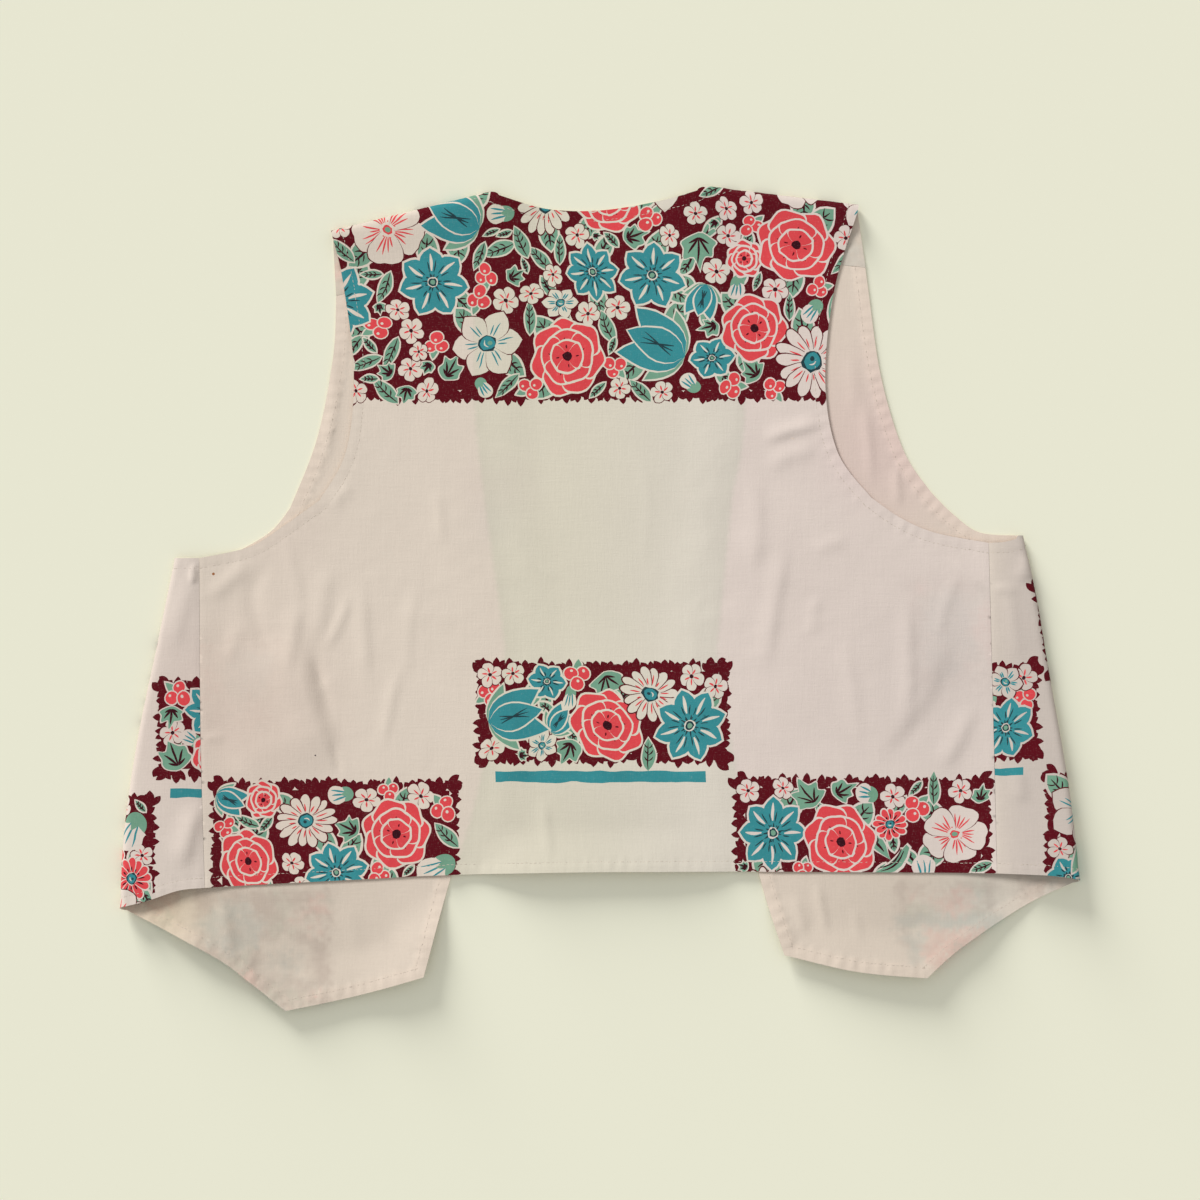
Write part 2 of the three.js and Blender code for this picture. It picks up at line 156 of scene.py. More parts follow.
LOWER_CREASES = [
    ([(-234.4, -183.8), (-230.6, -208), (-223.2, -224.1)], 0.8, 4, 5),
    ([(-203.4, -229.1), (-186, -234.1), (-172.4, -239)], 0.6, 3, 3),
    ([(-224.4, -214.8), (-209.6, -227.8)], 0.5, 3, 4),
    ([(-158.1, -186.9), (-147.6, -225.4)], 0.3, 6, 6),
    ([(133.9, -173.3), (141.4, -210.5)], 0.6, 2, 3),
    ([(119, -180.7), (129, -213)], 0.4, 3, 3),
    ([(157.5, -190), (161.2, -215.4)], 0.3, 2.5, 3),
    ([(189.1, -190), (223.2, -202.4)], 0.3, 5, 5),
    ([(-163.7, 166.5), (-166.2, 110.7), (-174.8, 73.5)], 0.4, 4, 4),
    ([(162.4, 126.2), (166.2, 98.3), (168.6, 67.3)], 0.5, 3, 3),
    ([(183.5, 82.8), (185.4, 56.1)], 0.6, 2, 3),
    ([(155, 154.1), (158.7, 110.7)], 0.3, 4, 4),
]

# ---------------------------------------------------------------- lines and points
def smooth(value):
    share = np.clip(value, 0.0, 1.0)
    return share * share * (3.0 - 2.0 * share)


def catmull(rows, steps=20):
    """A smooth line through the rows."""
    rows = np.asarray(rows, float)
    last = len(rows) - 1
    share = np.linspace(0.0, 1.0, steps, endpoint=False)[:, None]
    parts = []
    for i in range(last):
        before, start, end, after = (rows[k] for k in (max(i - 1, 0), i, i + 1, min(i + 2, last)))
        out, back = (end - before) / 2.0, (after - start) / 2.0
        parts.append(
            (2.0 * start - 2.0 * end + out + back) * share**3
            + (-3.0 * start + 3.0 * end - 2.0 * out - back) * share**2
            + out * share
            + start
        )
    return np.vstack([*parts, rows[last:]])


def lengths(line):
    """The distance along a line at which each of its points lies."""
    return np.append(0.0, np.cumsum(np.linalg.norm(np.diff(line, axis=0), axis=1)))


def spaced(line, step):
    """The same line with points about a step apart."""
    reached = lengths(line)
    count = max(1, round(reached[-1] / step))
    at = np.linspace(0.0, reached[-1], count + 1)
    return np.column_stack([np.interp(at, reached, line[:, k]) for k in (0, 1)])


def beside(line, points, chunk=6000):
    """Each point's signed distance from a line, and how far along the line that is."""
    start, step = line[:-1], np.diff(line, axis=0)
    length = np.maximum(np.linalg.norm(step, axis=1), 1e-9)
    reached = lengths(line)
    across, along = np.empty(len(points)), np.empty(len(points))
    for first in range(0, len(points), chunk):
        offset = points[first:first + chunk, None] - start
        share = np.clip((offset * step).sum(2) / length**2, 0.0, 1.0)
        gap = offset - share[..., None] * step
        distance = np.linalg.norm(gap, axis=2)
        best = distance.argmin(1)
        rows = np.arange(len(best))
        near = gap[rows, best]
        side = step[best, 0] * near[:, 1] - step[best, 1] * near[:, 0]
        across[first:first + chunk] = np.copysign(distance[rows, best], side)
        along[first:first + chunk] = reached[best] + share[rows, best] * length[best]
    return across, along


def inside(outline, points, chunk=20000):
    """Which points lie within a closed outline."""
    ax, ay = outline.T
    bx, by = np.roll(ax, -1), np.roll(ay, -1)
    rise = np.where(by == ay, 1e-12, by - ay)
    found = np.zeros(len(points), bool)
    for first in range(0, len(points), chunk):
        x, y = points[first:first + chunk, 0, None], points[first:first + chunk, 1, None]
        hits = ((ay > y) != (by > y)) & (x < ax + (y - ay) * (bx - ax) / rise)
        found[first:first + chunk] = hits.sum(1) % 2 == 1
    return found


def touching(points, others, size):
    """Which points lie in or beside a cell of that size that holds one of the others."""
    def key(cells):
        return cells[:, 0].astype(np.int64) * 100003 + cells[:, 1].astype(np.int64)

    used = np.unique(key(np.floor(others / size)))
    cells = np.floor(points / size)
    found = np.zeros(len(points), bool)
    for dx in (-1, 0, 1):
        for dy in (-1, 0, 1):
            found |= np.isin(key(cells + (dx, dy)), used)
    return found


def noise(x, y, size, seed):
    """Smooth noise from -1 to 1 whose features have the given size."""
    u, v = x / size, y / size
    i, j = np.floor(u), np.floor(v)
    across, up = smooth(u - i), smooth(v - j)

    def corner(a, b):
        value = np.sin(a * 127.1 + b * 311.7 + seed * 74.7) * 43758.5453
        return 2.0 * (value - np.floor(value)) - 1.0

    low = corner(i, j) * (1 - across) + corner(i + 1, j) * across
    high = corner(i, j + 1) * (1 - across) + corner(i + 1, j + 1) * across
    return low * (1 - up) + high * up


# ---------------------------------------------------------------- the laid form
class Side:
    """One half of the garment as it lies."""

    def __init__(self, name, sign, lines, shoulder):
        self.name, self.sign = name, sign
        self.lines = {key: catmull(rows) for key, rows in lines.items()}
        self.fold = self.lines["fold"]
        neck, tip = np.array(shoulder["neck"], float), np.array(shoulder["tip"], float)
        self.edge = np.vstack([self.lines[key] for key in ("edge_low", "edge_mid", "edge_strap")] + [neck])
        self.slant = shoulder["slant"]
        self.tip, self.length = tip, np.linalg.norm(neck - tip)
        self.direction = (neck - tip) / self.length
        self.inward = np.array([self.direction[1], -self.direction[0]])
        self.inward *= -np.sign(self.inward[1])
        self.arm = self.tip + self.inward * FOLD_REACH

    def edge_x(self, y):
        return np.interp(y, self.edge[:, 1], self.edge[:, 0])

    def fold_x(self, y):
        return np.interp(y, self.fold[:, 1], self.fold[:, 0])

    def turn_x(self, y):
        """Where the fold's rounding begins."""
        return self.fold_x(y) - self.sign * FOLD_REACH

    def share_up(self, y):
        low, high = self.fold[0, 1], self.fold[-1, 1]
        return np.clip((y - low) / (high - low), 0.0, 1.0)

    def between(self, sizes, y):
        return sizes["hem"] + (sizes["armhole"] - sizes["hem"]) * self.share_up(y)

    def loop(self, y):
        """Length of cloth in the half turn round the side."""
        half = (self.between(SIDE_RISE, y) - 2 * SURFACE) / 2
        return np.pi * np.sqrt((LOOP_REACH**2 + half**2) / 2)

    def strip_to_flat(self, laid):
        """Flat place of a point laid on the side's upper layer."""
        x, y = laid.T
        turned = self.turn_x(y)
        out = self.loop(y) + self.sign * (turned - x)
        return np.column_stack([turned + self.sign * out, y])

    def along_fold(self, flat):
        """Slants points on the front as the fold beside them slants."""
        x, y = flat.T
        return np.column_stack([x + self.turn_x(y) - self.turn_x(-10.0), y])

    def turning(self, flat):
        """Which points of the front lie on the turn round the side, or beside it."""
        x, y = flat.T
        out = self.sign * (x - self.turn_x(y))
        return (out > -TURN_MARGIN) & (out < self.loop(y) + TURN_MARGIN)

    def over_shoulder(self, flat):
        """Which points of the back lie on the turn over the shoulder, or beside it."""
        out = (self.arm - flat) @ self.inward
        mine = np.sign(flat[:, 0]) == self.sign
        return mine & (out > -TURN_MARGIN) & (out < SHOULDER_LOOP + TURN_MARGIN)

    def shoulder_to_flat(self, along, out):
        """Flat place of a point of the back beyond the start of the shoulder's turn."""
        return self.arm + np.outer(along, self.direction) - np.outer(out, self.inward)


SIDES = [Side("left", -1, LEFT_LINES, LEFT_SHOULDER), Side("right", 1, RIGHT_LINES, RIGHT_SHOULDER)]
SHOULDER_LOOP = math.pi * math.sqrt((LOOP_REACH**2 + ((SHOULDER_RISE - 2 * SURFACE) / 2) ** 2) / 2)


def creases(rows, x, y):
    """Height that the creases add."""
    points = np.column_stack([x, y])
    height = np.zeros(len(points))
    for path, rise, left, right in rows:
        line = catmull(path, 6)
        reach = 3 * max(left, right)
        near = np.flatnonzero(
            ((points > line.min(0) - reach) & (points < line.max(0) + reach)).all(1)
        )
        if near.size:
            across, along = beside(line, points[near])
            share = along / lengths(line)[-1]
            ends = smooth(share / 0.35) * smooth((1 - share) / 0.35)
            width = np.where(across > 0, left, right)
            height[near] += CREASE_GAIN * rise * np.exp(-((across / width) ** 2)) * ends
    return height


def side_lift(side, x, y):
    inside_fold = np.abs(x - side.fold_x(y)) - FOLD_REACH
    above = 1 - smooth((y - side.fold[-1, 1]) / SIDE_FADE_ABOVE)
    rise = side.between(SIDE_RISE, y) - SURFACE - UPPER
    return rise * (1 - smooth(inside_fold / side.between(SIDE_FADE, y))) * above


def shoulder_lift(side, x, y):
    offset = np.column_stack([x, y]) - side.tip
    inner = offset @ side.inward - FOLD_REACH
    past = offset @ side.direction - side.length
    fade = (1 - smooth(inner / SHOULDER_FADE)) * (1 - smooth(past / SHOULDER_FADE_PAST_NECK))
    return (SHOULDER_RISE - SURFACE - UPPER) * fade


def past_edges(x, y):
    """How far a point lies beyond the fronts' edges, in the open middle."""
    return np.minimum(*[side.sign * (side.edge_x(y) - x) for side in SIDES])


def ripple(x, y):
    soft = 0.25 * noise(x, y, 47.0, 3) + 0.14 * noise(x, y, 21.0, 5) + 0.06 * noise(x, y, 9.0, 8)
    crumple = 0.5 + 0.5 * noise(x, y, 60.0, 15)
    crisp = np.abs(noise(x + 0.4 * y, y, 24.0, 9)) + 0.6 * np.abs(noise(x, y - 0.5 * x, 13.0, 10))
    return soft - 0.42 * crumple * crisp


def upper_height(x, y):
    sunk = smooth((past_edges(x, y) - SAG_START) / SAG_RUN)
    z = UPPER + (SURFACE - UPPER) * sunk
    for side in SIDES:
        z = z + side_lift(side, x, y) + shoulder_lift(side, x, y)
    loose = sunk * (1 - smooth((y - BACK_HEM[2][1]) / LOOSE_RUN)) * (1 + 0.35 * noise(x, y, 31.0, 6))
    z = z + LOOSE_RISE * loose
    return z + creases(UPPER_CREASES, x, y) + ripple(x, y) * (1 - 0.7 * sunk)


def loose_points(x, y):
    """Height of the fronts' points, whose edges stand a little off the surface."""
    height = np.zeros(len(x))
    low = np.flatnonzero(y < LOOSE_BELOW)
    points = np.column_stack([x, y])[low]
    for side in SIDES if low.size else ():
        line = np.vstack([side.lines[key] for key in ("hem_outer", "hem_inner", "edge_low")])
        near = 1 - smooth(np.abs(beside(line[::3], points)[0]) / LOOSE_RUN)
        height[low] += near * smooth((LOOSE_BELOW - points[:, 1]) / LOOSE_RUN)
    return LOOSE_RISE * height * (1 + 0.35 * noise(x, y, 31.0, 7))


def lower_height(x, y):
    return SURFACE + creases(LOWER_CREASES, x, y) + 0.4 * ripple(x, y) + loose_points(x, y)


def place_back(flat):
    """Laid place of the back's middle surface."""
    x, y = flat.T
    placed = np.column_stack([x, y, np.zeros(len(x))])
    base = flat.copy()
    turned = np.zeros(len(x))
    for side in SIDES:
        offset = flat - side.arm
        out = -(offset @ side.inward)
        mine = (out > 0) & (np.sign(x) == side.sign)
        line = side.arm + np.outer(offset @ side.direction, side.direction)
        angle = np.pi * np.clip(out / SHOULDER_LOOP, 0, 1)
        depth = np.maximum(out - SHOULDER_LOOP, 0) - LOOP_REACH * np.sin(angle)
        base[mine] = line[mine]
        turned[mine] = (1 - np.cos(angle[mine])) / 2
        placed[mine, :2] = line[mine] + np.outer(depth[mine], side.inward)
    placed[:, 2] = SURFACE + (upper_height(*base.T) - SURFACE) * (1 - turned)
    return placed


def place_front(side, flat):
    """Laid place of a front's middle surface."""
    x, y = flat.T
    turned = side.turn_x(y)
    out = side.sign * (x - turned)
    loop = side.loop(y)
    angle = np.pi * np.clip(out / loop, 0, 1)
    inward = np.maximum(out - loop, 0)
    laid_x = np.where(out < 0, x, turned + side.sign * (LOOP_REACH * np.sin(angle) - inward))
    low = lower_height(np.where(out < 0, x, turned), y)
    high = upper_height(turned - side.sign * inward, y)
    return np.column_stack([laid_x, y, low + (high - low) * (1 - np.cos(angle)) / 2])


def back_stretches():
    """The back's outline in flat coordinates, as (kind, line), anticlockwise."""
    left, right = SIDES
    halves = []
    for side in SIDES:
        seam = np.array([side.lines["front_armhole"][-1], side.lines["edge_strap"][-1]])
        offset = seam - side.inward * SEAM_GAP - side.arm
        along, out = offset @ side.direction, SHOULDER_LOOP + offset @ side.inward
        turn = np.linspace(0.0, 1.0, 9)
        neck_along = side.length + side.slant * np.cos(np.pi * turn)
        flat = side.shoulder_to_flat
        neck_out = np.append(out[1], SHOULDER_LOOP * turn[::-1])
        halves.append([
            ("seam", side.lines["seam"]),
            ("hem", side.lines["back_underarm"]),
            ("hem", np.vstack([side.lines["back_armhole"][:-1], side.arm])),
            ("hem", flat([0, 0, along[0]], [0, SHOULDER_LOOP, out[0]])),
            ("seam", flat(along, out)),
            ("hem", flat(np.append(along[1], neck_along[::-1]), neck_out)),
        ])
    neck = catmull([halves[1][-1][1][-1], *NECK[::-1], halves[0][-1][1][-1]])
    down = [(kind, line[::-1]) for kind, line in reversed(halves[0])]
    return [("hem", catmull(BACK_HEM)), *halves[1], ("hem", neck), *down]


def front_stretches(side):
    """A front's outline in flat coordinates, as (kind, line), anticlockwise."""
    lines, sign = side.lines, side.sign
    share = np.linspace(0.0, 1.0, 13)
    seam_line = lines["seam"] + (sign * SEAM_GAP, 0)
    turns = []
    for end, slant in ((0, HEM_SLANT), (-1, 0.0)):
        y = side.fold[end, 1] - slant * np.cos(np.pi * share)
        turned = side.fold[end, 0] - sign * FOLD_REACH
        turns.append(np.column_stack([turned + sign * side.loop(side.fold[end, 1]) * share, y]))
    strip = [
        side.strip_to_flat(np.vstack([lines[key][1:-1], seam_line[end]]))
        for key, end in (("side_hem", 0), ("side_armhole", -1))
    ]
    arm = lines["front_armhole"][-1]
    parts = [
        ("seam", side.strip_to_flat(seam_line)[::-1]),
        ("hem", np.vstack([strip[0][::-1], turns[0][::-1]])),
        ("hem", np.vstack([turns[0][:1], lines["hem_outer"][1:]])),
        ("hem", lines["hem_inner"]),
        ("hem", lines["edge_low"]),
        ("hem", lines["edge_mid"]),
        ("hem", lines["edge_strap"]),
        ("seam", np.array([lines["edge_strap"][-1], arm])),
        ("hem", lines["front_armhole"][::-1]),
        ("hem", np.vstack([lines["front_underarm"][:0:-1], turns[1][:1]])),
        ("hem", np.vstack([turns[1], strip[1]])),
    ]
    if sign > 0:
        parts = [(kind, line[::-1]) for kind, line in reversed(parts)]
    return parts


# ---------------------------------------------------------------- the print
INKS = {
    "bare": None,
    "maroon": (88, 6, 20),
    "wine": (54, 8, 20),
    "teal": (54, 136, 142),
    "coral": (216, 70, 75),
    "mint": (114, 157, 132),
    "night": (34, 60, 66),
    "rust": (150, 98, 62),
    "speck": (96, 84, 84),
}
INK_NAMES = list(INKS)


class Drawing:
    """Printed shapes in flat coordinates, the last one on top."""

    def __init__(self):
        self.shapes = []

    def add(self, ink, outline):
        self.shapes.append((np.asarray(outline, float), INK_NAMES.index(ink)))

    def moved(self, change):
        moved = Drawing()
        moved.shapes = [(change(outline), ink) for outline, ink in self.shapes]
        return moved

    def ink_at(self, points):
        """The top ink under each point."""
        order = np.argsort(points[:, 0])
        xs = points[order, 0]
        found = np.zeros(len(points), int)
        for outline, ink in self.shapes:
            low, high = outline.min(0), outline.max(0)
            first, last = np.searchsorted(xs, [low[0], high[0]])
            near = order[first:last]
            near = near[(points[near, 1] >= low[1]) & (points[near, 1] <= high[1])]
            if near.size:
                found[near[inside(outline, points[near])]] = ink
        return found


def hand_drawn(points):
    """Moves points a little, as an unsteady hand would."""
    x, y = points.T
    drift_x = 0.55 * noise(x, y, 8.0, 11) + 0.16 * noise(x, y, 2.6, 12)
    drift_y = 0.55 * noise(x, y, 8.0, 13) + 0.16 * noise(x, y, 2.6, 14)
    return points + np.column_stack([drift_x, drift_y])


class Spot:
    """A place for a motif: it turns, flattens and moves the motif's own shapes."""

    def __init__(self, drawing, centre, radius, rng):
        self.drawing, self.centre, self.radius, self.rng = drawing, np.asarray(centre), radius, rng
        self.turn = rng.uniform(0, 2 * np.pi)
        self.squash = rng.uniform(0.82, 1.0)
        self.tilt = rng.uniform(0, np.pi)

    def add(self, ink, outline, angle=0.0):
        points = rotated(outline, angle + self.turn)
        points = rotated(points, -self.tilt) * (1.0, self.squash)
        self.drawing.add(ink, rotated(points, self.tilt) + self.centre)

    def ray(self, ink, near, far, width, turn):
        """A stroke between two places, each given as its distance from the centre and its bearing."""
        foot, tip = (rotated([(0, distance)], bearing)[0] for distance, bearing in (near, far))
        self.add(ink, stroke(foot, tip, width), turn)


def rotated(points, angle):
    c, s = math.cos(angle), math.sin(angle)
    return np.asarray(points) @ np.array([[c, s], [-s, c]])


def petal(length, width, ruffle=0.0, lobes=5, notch=0.0, middle=0.6, count=28):
    """One petal that grows along +Y from the origin."""
    angle = np.linspace(-np.pi, np.pi, count, endpoint=False)
    up = np.cos(angle)
    centre = middle * length
    y = centre + np.where(up > 0, length - centre, centre) * up
    x = width / 2 * np.sin(angle) * np.where(up < 0, 1 - 0.5 * np.abs(up) ** 1.5, 1.0)
    swell = 1 + ruffle * np.cos(lobes * angle) * np.sqrt(np.maximum(up, 0))
    y = y * swell - notch * length * np.exp(-((angle / 0.35) ** 2))
    return np.column_stack([x * swell, y])


def pointed(length, width, belly=0.45, count=9):
    """A leaf shape with two pointed ends, along +Y from the origin."""
    share = np.linspace(0, 1, count)
    half = width / 2 * np.sin(np.pi * share ** (math.log(0.5) / math.log(belly))) ** 0.85
    right = np.column_stack([half, share * length])
    return np.vstack([right, right[-2:0:-1] * (-1, 1)])


def stroke(start, end, width, bend=0.0):
    """A brush stroke that tapers at both ends."""
    start, end = np.asarray(start, float), np.asarray(end, float)
    share = np.linspace(0, 1, 6)
    step = end - start
    side = np.array([-step[1], step[0]])
    middle = start + np.outer(share, step) + np.outer(bend * np.sin(np.pi * share), side)
    half = width / 2 * np.sin(np.pi * np.clip(share * 0.85 + 0.1, 0, 1)) ** 0.8
    side = side / max(np.linalg.norm(side), 1e-9)
    return np.vstack([middle + np.outer(half, side), (middle - np.outer(half, side))[::-1]])


def blot(radius, points=14, ragged=0.08, rng=None):
    angle = np.linspace(0, 2 * np.pi, points, endpoint=False)
    reach = radius * (1 + (rng.uniform(-ragged, ragged, points) if rng is not None else 0))
    return np.column_stack([np.cos(angle), np.sin(angle)]) * np.asarray(reach).reshape(-1, 1)


def around(count, rng, jitter=0.08):
    return [2 * np.pi * (i + rng.uniform(-jitter, jitter)) / count for i in range(count)]


def eye(spot, radius, ring, middle):
    """A flower's centre with dots round it."""
    spot.add("bare", blot(radius * 1.3, rng=spot.rng))
    spot.add(ring, blot(radius, rng=spot.rng, ragged=0.15))
    spot.add(middle, blot(radius * 0.62, 10, rng=spot.rng))
    for angle in around(7, spot.rng):
        spot.add(ring, blot(0.5, 6) + rotated([(0, radius * 1.75)], angle), 0.0)


def clematis(spot, ink="teal", petals=7):
    """Pointed coloured petals, each with a bare stripe, round a dark tuft."""
    reach, rng = spot.radius, spot.rng
    turns = around(petals, rng, 0.06)
    width = reach * 4.6 / petals
    for turn in turns:
        spot.add("bare", pointed(reach + 1.4, width + 2.2, 0.6), turn)
    for turn in turns:
        spot.add(ink, pointed(reach, width, 0.6), turn)
        spot.add("bare", stroke((0, reach * 0.34), (0, reach * 0.84), reach * 0.09, 0.03), turn)
        for angle in (-0.2, 0.2):
            far = (reach * rng.uniform(0.5, 0.66), angle)
            spot.ray("night", (reach * 0.3, angle), far, 0.9, turn)
    for turn in around(11, rng, 0.2):
        spot.add("night", stroke((0, 0), (0, reach * rng.uniform(0.24, 0.32)), 1.2), turn)
    eye(spot, reach * 0.12, "night", "mint")


def rosette(spot, ink="coral"):
    """A full rose: three rings of round overlapping petals, each with a bare edge."""
    reach, rng = spot.radius, spot.rng
    for size, petals in ((1.0, 7), (0.7, 5), (0.42, 4)):
        length = reach * size
        width = 2.3 * length * math.sin(math.pi / petals)
        for turn in around(petals, rng, 0.08):
            spot.add("bare", petal(length + 0.8, width + 1.4, 0.04, 4), turn)
            spot.add(ink, petal(length - 0.5, width - 0.8, 0.04, 4), turn)
            spot.add("maroon", stroke((0, length * 0.5), (0, length * 0.74), 1.0, 0.05), turn)
    spot.add("wine", blot(reach * 0.13, 9, rng=rng))


def berries(spot, ink="coral"):
    """Three round berries with a glint on each, and a small leaf."""
    reach, rng = spot.radius, spot.rng
    spot.add("bare", pointed(reach * 1.3 + 1.4, reach * 0.6 + 1.8), 0.9)
    spot.add("mint", pointed(reach * 1.3, reach * 0.6), 0.9)
    for turn in around(3, rng, 0.06):
        place = rotated([(0, reach * 0.5)], turn)[0]
        spot.add("bare", blot(reach * 0.46 + 0.8, 14) + place)
        spot.add(ink, blot(reach * 0.46, 14) + place)
        spot.add("bare", blot(reach * 0.11, 7) + place + (-0.14 * reach, 0.14 * reach))


def tulip(spot, ink="teal"):
    """A cup of three pointed petals seen from the side, with two leaves at its foot."""
    reach = spot.radius
    spot.squash = 1.0
    foot = np.array((0.0, -0.8 * reach))
    for lean in (-0.95, 0.95):
        spot.add("bare", rotated(pointed(1.2 * reach + 1.6, 0.4 * reach + 2.4), lean) + foot)
        spot.add("mint", rotated(pointed(1.2 * reach, 0.4 * reach), lean) + foot)
    for colour, grow in (("bare", 2.0), (ink, 0.0)):
        for lean in (-0.36, 0.36):
            outer = pointed(1.75 * reach + grow, 0.85 * reach + grow, 0.4)
            spot.add(colour, rotated(outer, lean) + foot)
    spot.add("bare", pointed(1.6 * reach + 1.2, 0.8 * reach + 2.0, 0.42) + foot)
    spot.add(ink, pointed(1.6 * reach, 0.8 * reach, 0.42) + foot)
    for lean in (-0.12, 0.0, 0.12):
        tip = rotated([(0, 1.2 * reach)], lean)[0]
        spot.add("night", stroke((lean * reach, 0.35 * reach), tip, 1.1) + foot)


def wild_rose(spot, line="coral"):
    """Five notched bare petals with strokes from the heart."""
    reach, rng = spot.radius, spot.rng
    width = reach * 0.9
    for turn in around(5, rng, 0.05):
        spot.add("maroon", petal(reach + 0.6, width + 1.2, 0.04, 5, 0.16), turn)
        spot.add("bare", petal(reach, width, 0.04, 5, 0.16), turn)
        for angle in (-0.36, -0.12, 0.12, 0.36):
            far = (reach * rng.uniform(0.46, 0.7), angle)
            spot.ray(line, (reach * 0.2, angle * 0.8), far, 1.1, turn)
    eye(spot, reach * 0.13, line, "mint")


def narcissus(spot):
    """Six pointed bare petals with the ground between them, round a small cup."""
    reach, rng = spot.radius, spot.rng
    for turn in around(6, rng, 0.06):
        spot.add("maroon", pointed(reach + 0.8, reach * 0.74 + 1.2, 0.58), turn)
        spot.add("bare", pointed(reach, reach * 0.74, 0.58), turn)
        for angle in (-0.16, 0.14):
            far = (reach * rng.uniform(0.55, 0.78), angle * 0.7)
            spot.ray("teal", (reach * 0.28, angle), far, 1.0, turn)
    spot.add("night", blot(reach * 0.25, 12, 0.16, rng))
    spot.add("teal", blot(reach * 0.2, 12, 0.1, rng))
    spot.add("bare", stroke((-reach * 0.12, -reach * 0.02), (reach * 0.1, reach * 0.06), 0.9, 0.25))
    spot.add("mint", blot(reach * 0.07, 7) + (0, -reach * 0.07))


def daisy(spot, ink="bare", petals=14):
    """Many narrow petals round a dark oval."""
    reach, rng = spot.radius, spot.rng
    width = 2 * np.pi * reach / petals * 0.74
    edge, vein = ("maroon", "coral") if ink == "bare" else ("bare", "wine")
    for turn in around(petals, rng, 0.12):
        length = reach * rng.uniform(0.9, 1.04)
        spot.add(edge, petal(length + 0.7, width + 1.2, middle=0.72, count=16), turn)
        spot.add(ink, petal(length - 0.2, width - 0.2, middle=0.72, count=16), turn)
        tip = (0, length * rng.uniform(0.5, 0.74))
        spot.add(vein, stroke((0, reach * 0.34), tip, 1.0), turn)
    spot.add("bare", blot(reach * 0.3, rng=rng))
    spot.add("night", blot(reach * 0.27, rng=rng, ragged=0.14))
    spot.add("teal", blot(reach * 0.21, rng=rng))
    spot.add("bare", stroke((-reach * 0.1, 0), (reach * 0.08, reach * 0.08), 0.9, 0.2))
    spot.add("night", blot(reach * 0.06, 8) + (0, -reach * 0.06))


def primrose(spot):
    """A small flower with five round bare petals."""
    reach, rng = spot.radius, spot.rng
    turns = around(5, rng, 0.06)
    for turn in turns:
        spot.add("maroon", petal(reach + 0.5, reach * 0.84 + 1.0, notch=0.04, count=18), turn)
        spot.add("bare", petal(reach, reach * 0.84, notch=0.04, count=18), turn)
    for turn in turns:
        spot.add("coral", stroke((0, reach * 0.16), (0, reach * 0.6), 1.1), turn)
    spot.add("wine", blot(reach * 0.15, 9, rng=rng))


def leaf(spot, ink="mint"):
    """A leaf with a dark rib, centred on the spot."""
    reach, rng = spot.radius, spot.rng
    length, width = 2 * reach, reach * rng.uniform(0.62, 0.85)
    spot.add("bare", pointed(length + 2.0, width + 2.0) + (0, -reach - 1.0))
    spot.add(ink, pointed(length, width) + (0, -reach))
    spot.add("wine", stroke((0, -reach * 0.9), (0, reach * 0.75), 1.0, 0.04))
    for up in (-0.4, 0.0, 0.38):
        for side in (-1, 1):
            tip = (side * width * 0.32, reach * (up + 0.28))
            spot.add("wine", stroke((0, reach * up), tip, 0.9, -0.1 * side))


def ivy_leaf(spot):
    """A broad leaf with uneven blunt points and dark ribs."""
    reach, rng = spot.radius * 1.15, spot.rng
    points = []
    for angle, size in ((0, 1.1), (0.85, 0.84), (1.7, 0.74), (-1.7, 0.74), (-0.85, 0.84)):
        angle += rng.uniform(-0.1, 0.1)
        points.append((angle % (2 * np.pi), rotated([(0, reach * size * rng.uniform(0.9, 1.1))], angle)[0]))
        gap = rotated([(0, reach * rng.uniform(0.56, 0.68))], angle + 0.44)[0]
        points.append(((angle + 0.44) % (2 * np.pi), gap))
    points.append((np.pi, np.array((0.0, -reach * 0.5))))
    ring = np.array([point for _, point in sorted(points, key=lambda pair: pair[0])])
    ring = catmull(np.vstack([ring, ring[:1]]), 3)[:-1]
    spot.add("bare", ring * (1 + 1.3 / reach))
    spot.add("mint", ring)
    for angle, size in ((0, 0.85), (0.85, 0.6), (-0.85, 0.6), (1.7, 0.42), (-1.7, 0.42)):
        spot.add("wine", stroke((0, -reach * 0.3), rotated([(0, reach * size)], angle)[0], 1.5), 0.0)


def strap_leaf(spot):
    """A long striped leaf that bends."""
    reach = spot.radius
    spot.squash = 1.0
    for ink, grow in (("bare", 1.3), ("mint", 0.0)):
        spot.add(ink, stroke((0, -reach - grow), (0, reach + grow), reach * 0.5 + 2 * grow, 0.16))
    for lean in (-0.07, 0.07):
        start, end = (lean * reach, -reach * 0.7), (lean * reach * 1.3, reach * 0.72)
        spot.add("wine", stroke(start, end, 1.3, 0.16))


def bud(spot):
    reach = spot.radius
    spot.add("bare", petal(reach * 1.6, reach * 1.3, count=20) + (0, -reach * 0.7))
    for lean in (-0.4, 0.0, 0.4):
        spot.add("teal", stroke((lean * reach * 0.4, -reach * 0.4), (lean * reach * 0.9, reach * 0.6), 1.2))
    for angle in (-0.6, 0.0, 0.6):
        spot.add("mint", rotated(pointed(reach * 0.9, reach * 0.42), angle) + (0, -reach * 0.95))


